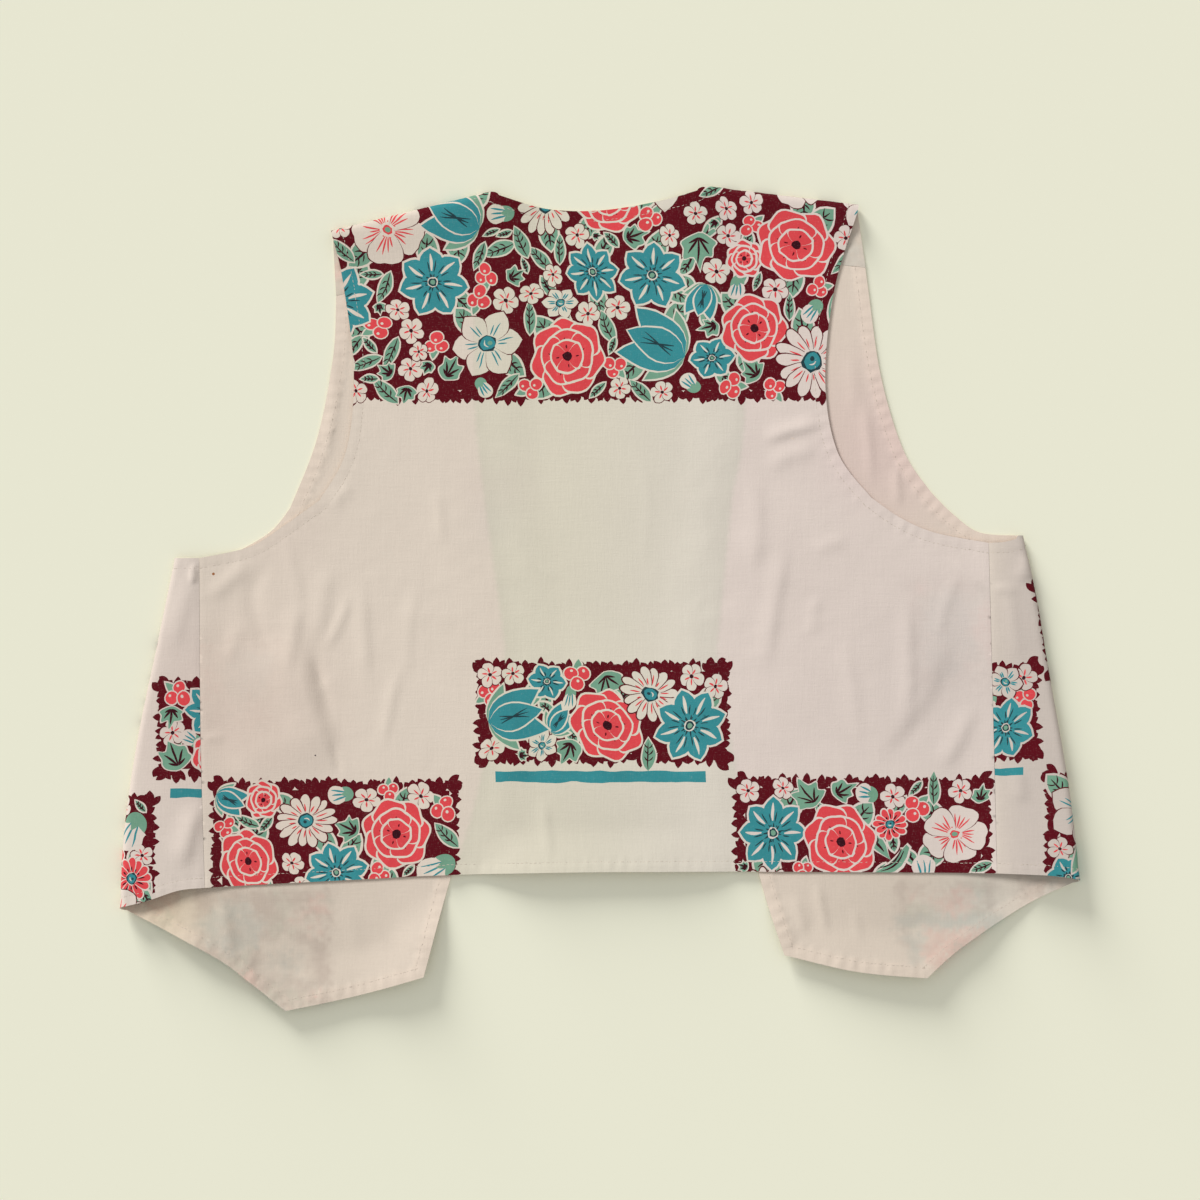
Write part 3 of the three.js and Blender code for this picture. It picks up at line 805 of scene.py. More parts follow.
def spray(drawing, place, outward, rng):
    """Pointed leaflets that fan out over the rim of the ground."""
    root = place - 9.5 * outward
    bearing = math.atan2(outward[1], outward[0]) - np.pi / 2
    for lean in (-0.6, 0.0, 0.6):
        lean = lean + rng.uniform(-0.12, 0.12)
        length = 10.6 + rng.uniform(-2.0, 1.2) - 1.0 * abs(lean)
        leaflet = pointed(length, rng.uniform(4.2, 5.4), 0.6, 9)
        drawing.add("maroon", rotated(leaflet, bearing + lean) + root)


def tucked_leaf(drawing, place, radius, turn, rng):
    """A leaf whose foot lies under a flower."""
    length, width = radius + rng.uniform(6.0, 9.5), radius * rng.uniform(0.5, 0.62)
    for ink, grow in (("bare", 1.3), ("mint", 0.0)):
        drawing.add(ink, rotated(pointed(length + grow, width + 2 * grow, 0.62, 11), turn) + place)
    drawing.add("wine", rotated(stroke((0, radius * 0.5), (0, length * 0.9), 1.5, 0.03), turn) + place)
    for up in (0.62, 0.76):
        for side in (-1, 1):
            tip = (side * width * 0.3, length * (up + 0.12))
            drawing.add("wine", rotated(stroke((0, length * up), tip, 1.0, -0.1 * side), turn) + place)


# Motifs for each size of spot, in turn
LARGE = [
    lambda s: clematis(s, "teal", 7),
    narcissus,
    tulip,
    rosette,
    lambda s: daisy(s, "bare", 15),
    lambda s: clematis(s, "teal", 8),
    rosette,
    wild_rose,
    tulip,
]
MIDDLE = [
    lambda s: daisy(s, "coral", 12),
    bud,
    narcissus,
    lambda s: clematis(s, "teal", 6),
    tulip,
    ivy_leaf,
    rosette,
    strap_leaf,
]
SMALL = [berries, primrose, primrose, berries, primrose, primrose, ivy_leaf, bud]
LARGE_FROM, MIDDLE_FROM = 15.0, 10.0   # radii from which a spot takes a large or a middling motif


def scattered(box, closed, radii, rng, rounds=260, tight=0.93):
    """Spots' centres, pushed apart within a box. Spots stay wholly inside its closed sides."""
    low, high = np.array(box[:2], float), np.array(box[2:], float)
    centres = rng.uniform(low, high, (len(radii), 2))
    own = radii + 1.5
    inner_low = low + np.column_stack([own * ("left" in closed), own * ("bottom" in closed)])
    inner_high = high - np.column_stack([own * ("right" in closed), own * ("top" in closed)])
    for _ in range(rounds):
        gap = centres[:, None] - centres[None]
        distance = np.linalg.norm(gap, axis=2) + 1e-6
        push = np.clip((radii[:, None] + radii) * tight - distance, 0, None)
        np.fill_diagonal(push, 0)
        centres += (gap / distance[..., None] * push[..., None]).sum(1) * 0.3
        centres = np.clip(centres, inner_low, np.maximum(inner_high, inner_low))
    return centres


def fillers(box, centres, radii, rng, least=2.6, most=6.5):
    """Small spots in the gaps, each with the direction in which its gap is longest."""
    low, high = np.array(box[:2], float), np.array(box[2:], float)
    grid = np.stack(np.meshgrid(*[np.arange(a, b, 2.0) for a, b in zip(low, high)]), -1).reshape(-1, 2)
    grid = grid + rng.uniform(-0.6, 0.6, grid.shape)
    placed, sizes = centres.copy(), np.array(radii, float)
    room = (np.linalg.norm(grid[:, None] - placed, axis=2) - sizes).min(1)
    found = []
    for _ in range(160):
        best = room.argmax()
        if room[best] < least:
            break
        radius = min(room[best], most)
        angles = np.linspace(0, np.pi, 8, endpoint=False)
        ends = np.array([
            grid[best] + k * 1.7 * radius * np.array([-math.sin(a), math.cos(a)])
            for a in angles
            for k in (-1, 1)
        ])
        clear = (np.linalg.norm(ends[:, None] - placed, axis=2) - sizes).min(1).reshape(-1, 2).min(1)
        found.append((grid[best], radius, angles[clear.argmax()]))
        placed, sizes = np.vstack([placed, grid[best]]), np.append(sizes, radius * 1.05)
        room = np.minimum(room, np.linalg.norm(grid - grid[best], axis=1) - sizes[-1])
    return found


OUTWARD = {"left": (-1, 0), "right": (1, 0), "bottom": (0, -1), "top": (0, 1)}


def rim_points(box, closed, step, rng):
    """Places along the closed sides of a box, each with its outward direction."""
    x0, y0, x1, y1 = box
    corners = {
        "left": ((x0, y0), (x0, y1)),
        "right": ((x1, y0), (x1, y1)),
        "bottom": ((x0, y0), (x1, y0)),
        "top": ((x0, y1), (x1, y1)),
    }
    places = []
    for side in closed:
        start, end = np.array(corners[side], float)
        count = max(2, round(np.linalg.norm(end - start) / step))
        shares = (np.arange(count) + rng.uniform(0.3, 0.7, count)) / count
        places.extend((start + share * (end - start), np.array(OUTWARD[side], float)) for share in shares)
    return places


GROUND_INSET = 7.4
RIM_STEP = 8.6
LEAF_MARGIN = 7.0


def shrunk(box, closed, amount):
    """The box with its closed sides moved in."""
    x0, y0, x1, y1 = box
    left, bottom, right, top = (amount * (side in closed) for side in ("left", "bottom", "right", "top"))
    return x0 + left, y0 + bottom, x1 - right, y1 - top


def filler(drawing, place, radius, angle, kind, rng):
    """A small motif for a gap. Some gaps stay empty."""
    spot = Spot(drawing, place, radius * 1.25, rng)
    if radius > 4.4 and kind in (1, 3):
        (primrose if kind == 1 else berries)(spot)
    elif kind == 2:
        ivy_leaf(spot)
    elif kind in (0, 5) or radius > 5.4:
        spot.radius = radius * 1.6
        spot.turn, spot.squash = angle, 1.0
        leaf(spot)


def flower_bed(drawing, box, closed, radii, seed):
    """A block of print: dark ground with a ragged rim, flowers, and leaves between them."""
    rng = np.random.default_rng(seed)
    x0, y0, x1, y1 = shrunk(box, closed, GROUND_INSET)
    drawing.add("maroon", np.array([(x0, y0), (x1, y0), (x1, y1), (x0, y1)]))
    for place, outward in rim_points(box, closed, RIM_STEP, rng):
        spray(drawing, place, outward, rng)
    radii = np.array(radii, float)
    centres = scattered(box, closed, radii, rng)
    inner = shrunk(box, closed, LEAF_MARGIN)
    low, high = np.array(shrunk(box, closed, 1.0)).reshape(2, 2)
    for place, radius in zip(centres, radii):
        for turn in around(2, rng, 0.3) if radius > MIDDLE_FROM else ():
            tip = place + rotated([(0, radius + 9.0)], turn)[0]
            if ((tip > low) & (tip < high)).all():
                tucked_leaf(drawing, place, radius, turn, rng)
    for index, (place, radius, angle) in enumerate(fillers(inner, centres, radii, rng)):
        filler(drawing, place, radius, angle, index % 7, rng)
    across = np.argsort(centres[:, 0] + 0.3 * centres[:, 1])
    sizes = ((0.0, MIDDLE_FROM, SMALL), (MIDDLE_FROM, LARGE_FROM, MIDDLE), (LARGE_FROM, 99.0, LARGE))
    for least, most, kinds in sizes:
        chosen = [i for i in across if least <= radii[i] < most]
        for turn, i in enumerate(chosen):
            kinds[(turn + seed) % len(kinds)](Spot(drawing, centres[i], radii[i], rng))


def stripe(drawing, x0, x1, y0, y1):
    """A painted stripe with uneven edges."""
    xs = np.linspace(x0, x1, max(4, round((x1 - x0) / 3)))
    low = y0 + 0.35 * noise(xs, xs * 0 + 1, 9.0, 31)
    high = y1 + 0.35 * noise(xs, xs * 0 + 7, 9.0, 32)
    drawing.add("teal", np.vstack([np.column_stack([xs, low]), np.column_stack([xs, high])[::-1]]))


def radius_list(large, middle, small, seed):
    rng = np.random.default_rng(seed)
    parts = ((large, 17.5, 24.5), (middle, 10.5, 14.0), (small, 7.2, 9.2))
    return [r for count, low, high in parts for r in rng.uniform(low, high, count)]


ALL_SIDES = ("left", "right", "bottom", "top")


def back_print():
    drawing = Drawing()
    flower_bed(drawing, (-205, 121.5, 195, 305), ("bottom",), radius_list(29, 12, 46, 4), 31)
    flower_bed(drawing, (-77.5, -103.2, 80.6, -38.1), ALL_SIDES, radius_list(4, 4, 9, 5), 2)
    flower_bed(drawing, (-241.5, -192, -86.2, -111.3), ("left", "right", "top"), radius_list(4, 7, 9, 6), 3)
    flower_bed(drawing, (82.5, -184, 243.2, -110), ("left", "right", "top"), radius_list(4, 7, 9, 7), 4)
    stripe(drawing, -64.5, 65.7, -113.8, -107)
    drawing = drawing.moved(hand_drawn)
    drawing.add("speck", blot(0.55, 8) + (-176.1, -97.0))
    drawing.add("speck", blot(0.9, 8) * (1.0, 1.5) + (183.0, 53.5))
    drawing.add("rust", blot(0.9, 10) + (-239.3, 15.2))
    return drawing


def front_print(side):
    """Blocks on the side strip, which run on round the fold, and blocks on the front itself."""
    strip, chest = Drawing(), Drawing()
    if side.sign < 0:
        left_open = ("left", "bottom", "top")
        flower_bed(strip, (-274.7, -112.5, -238, -49.3), left_open, radius_list(1, 2, 4, 8), 5)
        stripe(strip, -265.4, -240, -123, -117.5)
        flower_bed(strip, (-338, -200, -274, -120), ("left", "right", "top"), radius_list(2, 4, 5, 9), 6)
        flower_bed(chest, (-270.5, -80, -190, -25), ALL_SIDES, radius_list(2, 3, 4, 10), 7)
        flower_bed(chest, (-225, -262, -140, -181), ("left", "right", "top"), radius_list(3, 3, 4, 11), 8)
    else:
        flower_bed(strip, (238, -100.8, 272, -38.8), ("right", "bottom", "top"), radius_list(1, 2, 4, 12), 9)
        stripe(strip, 240, 261.6, -109.4, -104.5)
        flower_bed(strip, (274, -190, 338, -106.3), ("left", "right", "top"), radius_list(2, 4, 5, 13), 10)
        flower_bed(chest, (193, -52, 276.6, 12), ALL_SIDES, radius_list(2, 3, 4, 14), 11)
        flower_bed(chest, (160, -215, 220, -175), ("left", "right", "top"), radius_list(1, 3, 4, 15), 12)
        stripe(chest, 158, 225, -204, -196)
    whole = strip.moved(hand_drawn).moved(side.strip_to_flat)
    whole.shapes += chest.moved(hand_drawn).moved(side.along_fold).shapes
    return whole


# ---------------------------------------------------------------- panels
FLOOR_GAP = 0.03


def above_floor(points):
    """Keeps the cloth from dipping into the surface that it lies on."""
    points[:, 2] = np.maximum(points[:, 2], FLOOR_GAP)
    return points


class Panel:
    """One piece of cloth: its outline, its print, and where it lies."""

    def __init__(self, name, stretches, place, facing, drawing, wrong_spacing, turning, step=1.6):
        self.name, self.place, self.facing, self.drawing = name, place, facing, drawing
        self.turning = turning
        self.wrong_spacing = wrong_spacing
        self.stretches = [(kind, spaced(line, step)) for kind, line in stretches]
        self.outline = np.vstack([line[:-1] for _, line in self.stretches])

    def edges(self, kind, points):
        """Distance to the nearest edge of that kind, and the place along it."""
        best, where, start = np.full(len(points), 99.0), np.zeros(len(points)), 0.0
        for own, line in self.stretches:
            close = np.flatnonzero(touching(points, line, 8.0)) if own == kind else []
            if len(close):
                across, along = beside(line, points[close])
                nearer = np.abs(across) < best[close]
                best[close[nearer]] = np.abs(across[nearer])
                where[close[nearer]] = start + along[nearer]
            start += lengths(line)[-1]
        return best, where

    def surface(self, flat, offset):
        """Points at a distance from the middle surface, towards the cloth's right side."""
        step = 0.4
        ahead, behind = self.place(flat + (step, 0)), self.place(flat - (step, 0))
        above, below = self.place(flat + (0, step)), self.place(flat - (0, step))
        normal = np.cross(ahead - behind, above - below) * self.facing
        normal /= np.linalg.norm(normal, axis=1)[:, None]
        return above_floor(self.place(flat) + normal * np.asarray(offset).reshape(-1, 1)), normal


HEM_DEPTH = 6.0
TURNED_BAND = 7.8
COARSE, FINE, EDGE_CELL = 2.7, 1.6, 5.0


def puckers(along, distance):
    """Small gathers that the hem stitching pulls into an edge."""
    wave = 0.7 * np.sin(along / 1.25 + 2.4 * noise(along, along * 0, 23.0, 21))
    wave += 0.8 * noise(along, distance * 0.7, 3.4, 24)
    strength = 0.6 + 0.4 * noise(along, along * 0 + 9, 31.0, 22)
    return wave * strength * (0.3 + 0.7 * smooth(distance / 3.5)) * (1 - smooth((distance - 5) / 7))


def right_relief(panel, flat):
    """Relief of the hems and seams on the cloth's right side."""
    hem, along = panel.edges("hem", flat)
    seam, _ = panel.edges("seam", flat)
    relief = 0.12 * (1 - smooth((hem - HEM_DEPTH + 0.6) / 1.6))
    relief -= 0.16 * np.exp(-(((hem - HEM_DEPTH) / 0.9) ** 2))
    relief += 0.2 * puckers(along, hem)
    return relief - 0.28 * np.exp(-((seam / 1.3) ** 2))


def wrong_relief(panel, flat):
    """Relief of the turned band on the cloth's wrong side."""
    hem, along = panel.edges("hem", flat)
    band = 0.45 * (1 - smooth((hem - TURNED_BAND - 0.5 * noise(along, along * 0, 14.0, 23)) / 0.5))
    return band - 0.16 * np.exp(-(((hem - HEM_DEPTH) / 0.9) ** 2)) - 0.38 * puckers(along, hem)


LONGEST = 2.2  # longest straight piece of a printed edge


def hexagonal(outline, spacing):
    low, high = outline.min(0), outline.max(0)
    ys = np.arange(low[1], high[1], spacing * 0.866)
    xs = np.arange(low[0], high[0], spacing)
    x, y = np.meshgrid(xs, ys)
    x[1::2] += spacing / 2
    return np.column_stack([x.ravel(), y.ravel()])


def inner_points(panel, taken, coarse, fine):
    """Mesh points within the outline: close together near its edges."""
    outline = panel.outline
    chosen = []
    for spacing, close in ((coarse, False), (fine, True)):
        grid = hexagonal(outline, spacing)
        grid = grid[(touching(grid, outline, EDGE_CELL) | panel.turning(grid)) == close]
        chosen.append(grid[inside(outline, grid)])
    chosen = np.vstack(chosen)
    return chosen[~touching(chosen, taken, 0.62)]


EDGE_CLEARANCE = 0.12
CUTS = 5


def well_inside(outline, points):
    """Which points lie within the outline and clear of it."""
    found = inside(outline, points)
    close = np.flatnonzero(found & touching(points, outline, 2.0))
    ring = np.vstack([outline, outline[:1]])
    found[close] = np.abs(beside(ring, points[close])[0]) > EDGE_CLEARANCE
    return found


def cut_short(start, end):
    """Each segment as several shorter ones."""
    share = np.linspace(0.0, 1.0, CUTS + 1)[:, None, None]
    points = start + share * (end - start)
    return points[:-1].reshape(-1, 2), points[1:].reshape(-1, 2)


def visible_segments(drawing, outline):
    """Segments of the printed shapes across which the ink changes."""
    start = np.vstack([shape for shape, _ in drawing.shapes])
    end = np.vstack([np.roll(shape, -1, axis=0) for shape, _ in drawing.shapes])
    parts = np.maximum(1, np.ceil(np.linalg.norm(end - start, axis=1) / LONGEST).astype(int))
    which = np.repeat(np.arange(len(start)), parts)
    part = np.arange(len(which)) - np.repeat(np.cumsum(parts) - parts, parts)
    step = ((end - start) / parts[:, None])[which]
    start = start[which] + step * part[:, None]
    end = start + step
    clear = well_inside(outline, start) & well_inside(outline, end)
    crossing = ~clear & (inside(outline, start) | inside(outline, end))
    short_start, short_end = cut_short(start[crossing], end[crossing])
    kept = well_inside(outline, short_start) & well_inside(outline, short_end)
    start = np.vstack([start[clear], short_start[kept]])
    end = np.vstack([end[clear], short_end[kept]])
    step = end - start
    length = np.linalg.norm(step, axis=1)
    keep = length > 0.03
    start, end, step, length = start[keep], end[keep], step[keep], length[keep]
    side = np.column_stack([-step[:, 1], step[:, 0]]) / length[:, None] * 0.06
    middle = (start + end) / 2
    shown = drawing.ink_at(middle + side) != drawing.ink_at(middle - side)
    return start[shown], end[shown]


def merged(points, grid=0.05):
    """Points that nearly coincide become one; returns the points and each one's index."""
    cells = np.round(points / grid).astype(np.int64)
    _, first, index = np.unique(cells, axis=0, return_index=True, return_inverse=True)
    return points[first], index.reshape(-1)


def triangulated(points, edges, outline):
    """Triangles within the outline, and the input index of each point that came from one."""
    result = delaunay_2d_cdt([Vector(p) for p in points.tolist()], edges.tolist(), [], 0, 1e-5, True)
    found = np.array([tuple(v) for v in result[0]])
    faces = np.array(result[2])
    corners = found[faces]
    centres = corners.mean(1)
    longest = np.linalg.norm(corners - np.roll(corners, 1, axis=1), axis=2).max(1)
    unsure = np.flatnonzero((longest > EDGE_CELL) | touching(centres, outline, EDGE_CELL / 2))
    keep = np.ones(len(faces), bool)
    keep[unsure] = inside(outline, centres[unsure])
    faces = faces[keep]
    used = np.unique(faces)
    renumber = np.full(len(found), -1)
    renumber[used] = np.arange(len(used))
    origins = [ids[0] if ids else -1 for ids in result[3]]
    return found[used], renumber[faces], np.array(origins)[used]


def rim_of(faces):
    """Edges that only one face uses, in that face's direction."""
    edges = np.vstack([faces[:, [0, 1]], faces[:, [1, 2]], faces[:, [2, 0]]])
    size = int(faces.max()) + 1
    keys, back = edges[:, 0] * size + edges[:, 1], edges[:, 1] * size + edges[:, 0]
    return edges[~np.isin(keys, back)]


def right_face(panel):
    start, end = visible_segments(panel.drawing, panel.outline)
    count = len(panel.outline)
    ring = np.column_stack([np.arange(count), np.roll(np.arange(count), -1)])
    points = np.vstack([panel.outline, start, end])
    pairs = np.column_stack([np.arange(len(start)), np.arange(len(start)) + len(start)]) + count
    extra = inner_points(panel, points, COARSE, FINE)
    joined, index = merged(np.vstack([points, extra]))
    edges = index[np.vstack([ring, pairs])]
    edges = edges[edges[:, 0] != edges[:, 1]]
    flat, faces, _ = triangulated(joined, edges, panel.outline)
    return flat, faces


def wrong_face(panel, flat, rim):
    """A plainer triangulation that shares the right face's rim."""
    loop = np.unique(rim)
    local = np.full(len(flat), -1)
    local[loop] = np.arange(len(loop))
    extra = inner_points(panel, flat[loop], *panel.wrong_spacing)
    points = np.vstack([flat[loop], extra])
    found, faces, origins = triangulated(points, local[rim], panel.outline)
    place = {origin: i for i, origin in enumerate(origins.tolist())}
    return found, faces, {int(outer): place[int(local[outer])] for outer in loop}


# ---------------------------------------------------------------- colour
def linear(rgb):
    value = np.asarray(rgb, float) / 255.0
    return np.where(value <= 0.04045, value / 12.92, ((value + 0.055) / 1.055) ** 2.4)


CLOTH = linear((217, 204, 189))
THREAD = linear((209, 196, 180))
FLOOR = linear((231, 230, 209))
SINGLE = linear((214, 207, 188)) / CLOTH
INK_TABLE = np.array([[*linear(rgb), 1.0] if rgb else [*CLOTH, 0.0] for rgb in INKS.values()])


def show_through(drawing, points, strength, spread, rng):
    """How a print tints the other side of the cloth, softly."""
    tint = np.zeros((len(points), 3))
    rounds = 6
    for _ in range(rounds):
        ink = INK_TABLE[drawing.ink_at(points + rng.normal(0, spread, points.shape))]
        tint += 1 - strength * ink[:, 3:] * (1 - ink[:, :3] / CLOTH * 0.9)
    return tint / rounds


PINK = (0.0, -0.01, 0.055)
DOUBLED = (0.055, 0.04, 0.035)
LEFT_STRIP = (0.0, 0.0, 0.04)
# painted shade on the right front's side strip, darker towards its fold
RIGHT_STRIP_PAINTED_SHADE = (-0.185, -0.185, -0.145)
# Places where the cloth's colour changes: centre, reach, and the change in red, green and blue. Some rows
# change the cloth's tone; the marked ones are painted shade.
DISCOLOURED_AND_SHADED = [
    # painted shade: the broad slope left of the long crease, which faces away from the light
    (-225, -70, 62, (-0.055, -0.10, -0.095)),
    (-60, 70, 22, (-0.03, -0.045, -0.03)),
    # painted shade over the low middle of the back
    (0, -146, 42, (-0.065, -0.06, -0.06)),
    (-195, 42, 30, (-0.025, -0.04, -0.035)),
    (-68, 48, 14, (-0.035, -0.03, -0.02)),
    # painted shade over the right panel, on this row and the next
    (215, -40, 52, (-0.085, -0.08, -0.075)),
    (205, -120, 60, (-0.025, -0.02, -0.02)),
    (165, 92, 28, (0.0, -0.05, -0.02)),
]
# The same for the wrong side. The rows at (-200, -205), (190, -200) and (240, -190) are painted shade on the
# lower fronts; the others change the cloth's tone.
DISCOLOURED_AND_SHADED_INSIDE = [
    # painted shade on the lower left front
    (-200, -205, 75, (-0.14, -0.135, -0.145)),
    (-268, -192, 26, (-0.03, -0.05, -0.14)),
    # painted shade on the lower right front, on this row and the next
    (190, -200, 75, (-0.13, -0.125, -0.13)),
    (240, -190, 30, (-0.11, -0.06, -0.04)),
    (175, 95, 60, (-0.04, -0.11, -0.05)),
]


# Tints that fade out from each row's centre: tone changes, and painted shade.
def discoloured_and_shaded(rows, x, y):
    tint = np.ones((len(x), 3))
    for px, py, reach, shade in rows:
        near = np.exp(-((x - px) ** 2 + (y - py) ** 2) / reach**2)
        tint *= 1 + near[:, None] * np.array(shade)
    return tint


def laid_tint(panel, flat):
    """Tint of the right side: a single thickness is greener, some places change tone, and painted shade
    darkens a band beyond the fronts' edges, the right strip towards its fold, and places that lie away from
    the light.
    """
    x, y, _ = panel.place(flat).T
    tint = discoloured_and_shaded(DISCOLOURED_AND_SHADED, x, y)
    cast = noise(x, y, 70.0, 41) * 0.016 + noise(x, y, 26.0, 42) * 0.012
    tint *= 1 + cast[:, None]
    if panel.name == "cloth_back":
        past = past_edges(x, y)
        tint *= 1 + (SINGLE - 1) * smooth((past + 1) / 3)[:, None]
        # painted shade: a darker band just beyond the fronts' edges, where the back does not yet lie on the
        # floor
        tint *= 1 - 0.06 * (np.exp(-np.abs(past - 2) / 7) * (past > 0))[:, None]
        return tint * (1 + smooth((x + 40) / 130)[:, None] * PINK)
    if panel.name == "cloth_front_left":
        return tint * (1 + np.array(LEFT_STRIP))
    # painted shade: the right strip darkens towards its fold
    return tint * (1 + smooth((x - 225) / 40)[:, None] * RIGHT_STRIP_PAINTED_SHADE)


# ---------------------------------------------------------------- meshes
def colour_layer(mesh, name, domain, values):
    layer = mesh.attributes.new(name, "FLOAT_COLOR", domain)
    layer.data.foreach_set("color", np.asarray(values, np.float32).ravel())


def new_mesh(name, points, faces, material):
    mesh = bpy.data.meshes.new(name)
    mesh.from_pydata((np.asarray(points) * MM).tolist(), [], np.asarray(faces).tolist())
    mesh.update()
    mesh.shade_smooth()
    mesh.materials.append(material)
    piece = bpy.data.objects.new(name, mesh)
    bpy.context.scene.collection.objects.link(piece)
    return piece


def sharpen(mesh, pairs):
    """Marks the edges between those pairs of points as sharp."""
    ends = np.empty(len(mesh.edges) * 2, np.int64)
    mesh.edges.foreach_get("vertices", ends)
    ends = np.sort(ends.reshape(-1, 2), axis=1)
    pairs = np.sort(pairs, axis=1)
    size = len(mesh.vertices)
    chosen = np.isin(ends[:, 0] * size + ends[:, 1], pairs[:, 0] * size + pairs[:, 1])
    mesh.attributes.new("sharp_edge", "BOOLEAN", "EDGE").data.foreach_set("value", chosen)


SHOW_THROUGH = {"strength": 0.18, "spread": 2.1}          # a print on its own cloth's wrong side
SHOW_FROM_BELOW = {"strength": 0.055, "spread": 3.0}      # the fronts' print through the back
WRONG_SIDE_TINT = (1.0, 0.985, 0.975)


def cloth(panel, material, below=()):
    """The panel as a thin closed shell with its print."""
    flat, faces = right_face(panel)
    rim = rim_of(faces)
    under_flat, under_faces, match = wrong_face(panel, flat, rim)
    right, _ = panel.surface(flat, RIGHT_FACE + right_relief(panel, flat))
    wrong, _ = panel.surface(under_flat, RIGHT_FACE - THICKNESS - wrong_relief(panel, under_flat))
    start = len(flat)
    a, b = rim.T
    under_a = np.array([match[i] for i in a.tolist()]) + start
    under_b = np.array([match[i] for i in b.tolist()]) + start
    walls = np.vstack([np.column_stack([b, a, under_a]), np.column_stack([b, under_a, under_b])])
    all_faces = np.vstack([faces, under_faces[:, ::-1] + start, walls])
    if panel.facing < 0:
        all_faces = all_faces[:, ::-1]
    piece = new_mesh(panel.name, np.vstack([right, wrong]), all_faces, material)
    sharpen(piece.data, np.vstack([rim, np.column_stack([under_a, under_b])]))
    inks = INK_TABLE[panel.drawing.ink_at(flat[faces].mean(1))]
    plain = np.tile(INK_TABLE[0], (len(under_faces) + len(walls), 1))
    colour_layer(piece.data, "print", "CORNER", np.repeat(np.vstack([inks, plain]), 3, axis=0))
    tints = tinted(panel, flat, under_flat, below)
    colour_layer(piece.data, "tint", "POINT", np.column_stack([tints, np.ones(len(tints))]))
    return piece


def tinted(panel, flat, under_flat, below):
    """Tints of the points of the right side, then of the wrong side."""
    rng = np.random.default_rng(77)
    right_tint = laid_tint(panel, flat)
    for other in below:
        shows = inside(other.outline, flat)
        right_tint[shows] *= show_through(other.drawing, flat[shows], rng=rng, **SHOW_FROM_BELOW)
    wrong_tint = show_through(panel.drawing, under_flat, rng=rng, **SHOW_THROUGH) * WRONG_SIDE_TINT
    # tone changes, and painted shade on the lower fronts
    wrong_tint *= discoloured_and_shaded(DISCOLOURED_AND_SHADED_INSIDE, *panel.place(under_flat).T[:2])
    band = 1 - smooth((panel.edges("hem", under_flat)[0] - TURNED_BAND + 0.4) / 0.8)
    wrong_tint *= 1 + band[:, None] * DOUBLED
    return np.vstack([right_tint, wrong_tint])


STITCH = {"length": 1.9, "pitch": 2.7, "width": 0.34, "height": 0.09, "inset": 6.2, "above": 0.04}


def stitch_shape():
    """The points of one stitch, which lies along +X, and its faces."""
    ring = np.array([(0, 1, 0), (0, 0, 1), (0, -1, 0), (0, 0, -1)], float)
    shape = np.vstack([ring * (1, s, s) + (x, 0, 0) for x, s in ((-1, 0.35), (-0.6, 1), (0.6, 1), (1, 0.35))])
    shape *= (STITCH["length"] / 2, STITCH["width"] / 2, STITCH["height"] / 2)
    quads = [
        (4 * i + k, 4 * i + (k + 1) % 4, 4 * i + 4 + (k + 1) % 4, 4 * i + 4 + k)
        for i in range(3)
        for k in range(4)
    ]
    return shape, quads + [(3, 2, 1, 0), (12, 13, 14, 15)]


def stitch_places(panel, line, side, rng):
    """Where the stitches of a row lie, with the directions along, across and off the cloth."""
    dense = spaced(line, STITCH["pitch"])
    step = np.gradient(dense, axis=0)
    step /= np.linalg.norm(step, axis=1)[:, None]
    inner = np.column_stack([-step[:, 1], step[:, 0]])
    flat = dense + inner * (STITCH["inset"] + rng.normal(0, 0.12, (len(dense), 1)))
    keep = inside(panel.outline, flat) & (panel.edges("hem", flat)[0] > STITCH["inset"] - 0.8)
    flat, step = flat[keep], step[keep]
    relief = right_relief(panel, flat) if side > 0 else wrong_relief(panel, flat)
    above = relief + STITCH["above"]
    offset = RIGHT_FACE + above if side > 0 else RIGHT_FACE - THICKNESS - above
    centre, normal = panel.surface(flat, offset)
    ahead = panel.surface(flat + step * 0.5, offset)[0] - centre
    ahead /= np.linalg.norm(ahead, axis=1)[:, None]
    return centre, ahead, np.cross(normal, ahead), normal


def stitches(name, panel, rows, material):
    """Rows of stitches. Each row is a line and the side of the cloth that it shows on."""
    shape, quads = stitch_shape()
    rng = np.random.default_rng(5)
    points, faces, start = [], [], 0
    for line, side in rows:
        for c, f, s, n in zip(*stitch_places(panel, line, side, rng)):
            lean = rng.normal(0, 0.08)
            forward = f + s * lean
            points.append(c + shape[:, :1] * forward + shape[:, 1:2] * (s - f * lean) + shape[:, 2:] * n)
            faces.extend([tuple(start + k for k in quad) for quad in quads])
            start += len(shape)
    return new_mesh(name, above_floor(np.vstack(points)), faces, material)


# ---------------------------------------------------------------- materials
def shader(name, roughness, sheen):
    material = bpy.data.materials.new(name)
    material.use_nodes = True
    principled = material.node_tree.nodes["Principled BSDF"]
    principled.inputs["Roughness"].default_value = roughness
    principled.inputs["Specular IOR Level"].default_value = 0.1
    principled.inputs["Sheen Weight"].default_value = sheen
    principled.inputs["Sheen Roughness"].default_value = 0.6
    return material, material.node_tree, principled


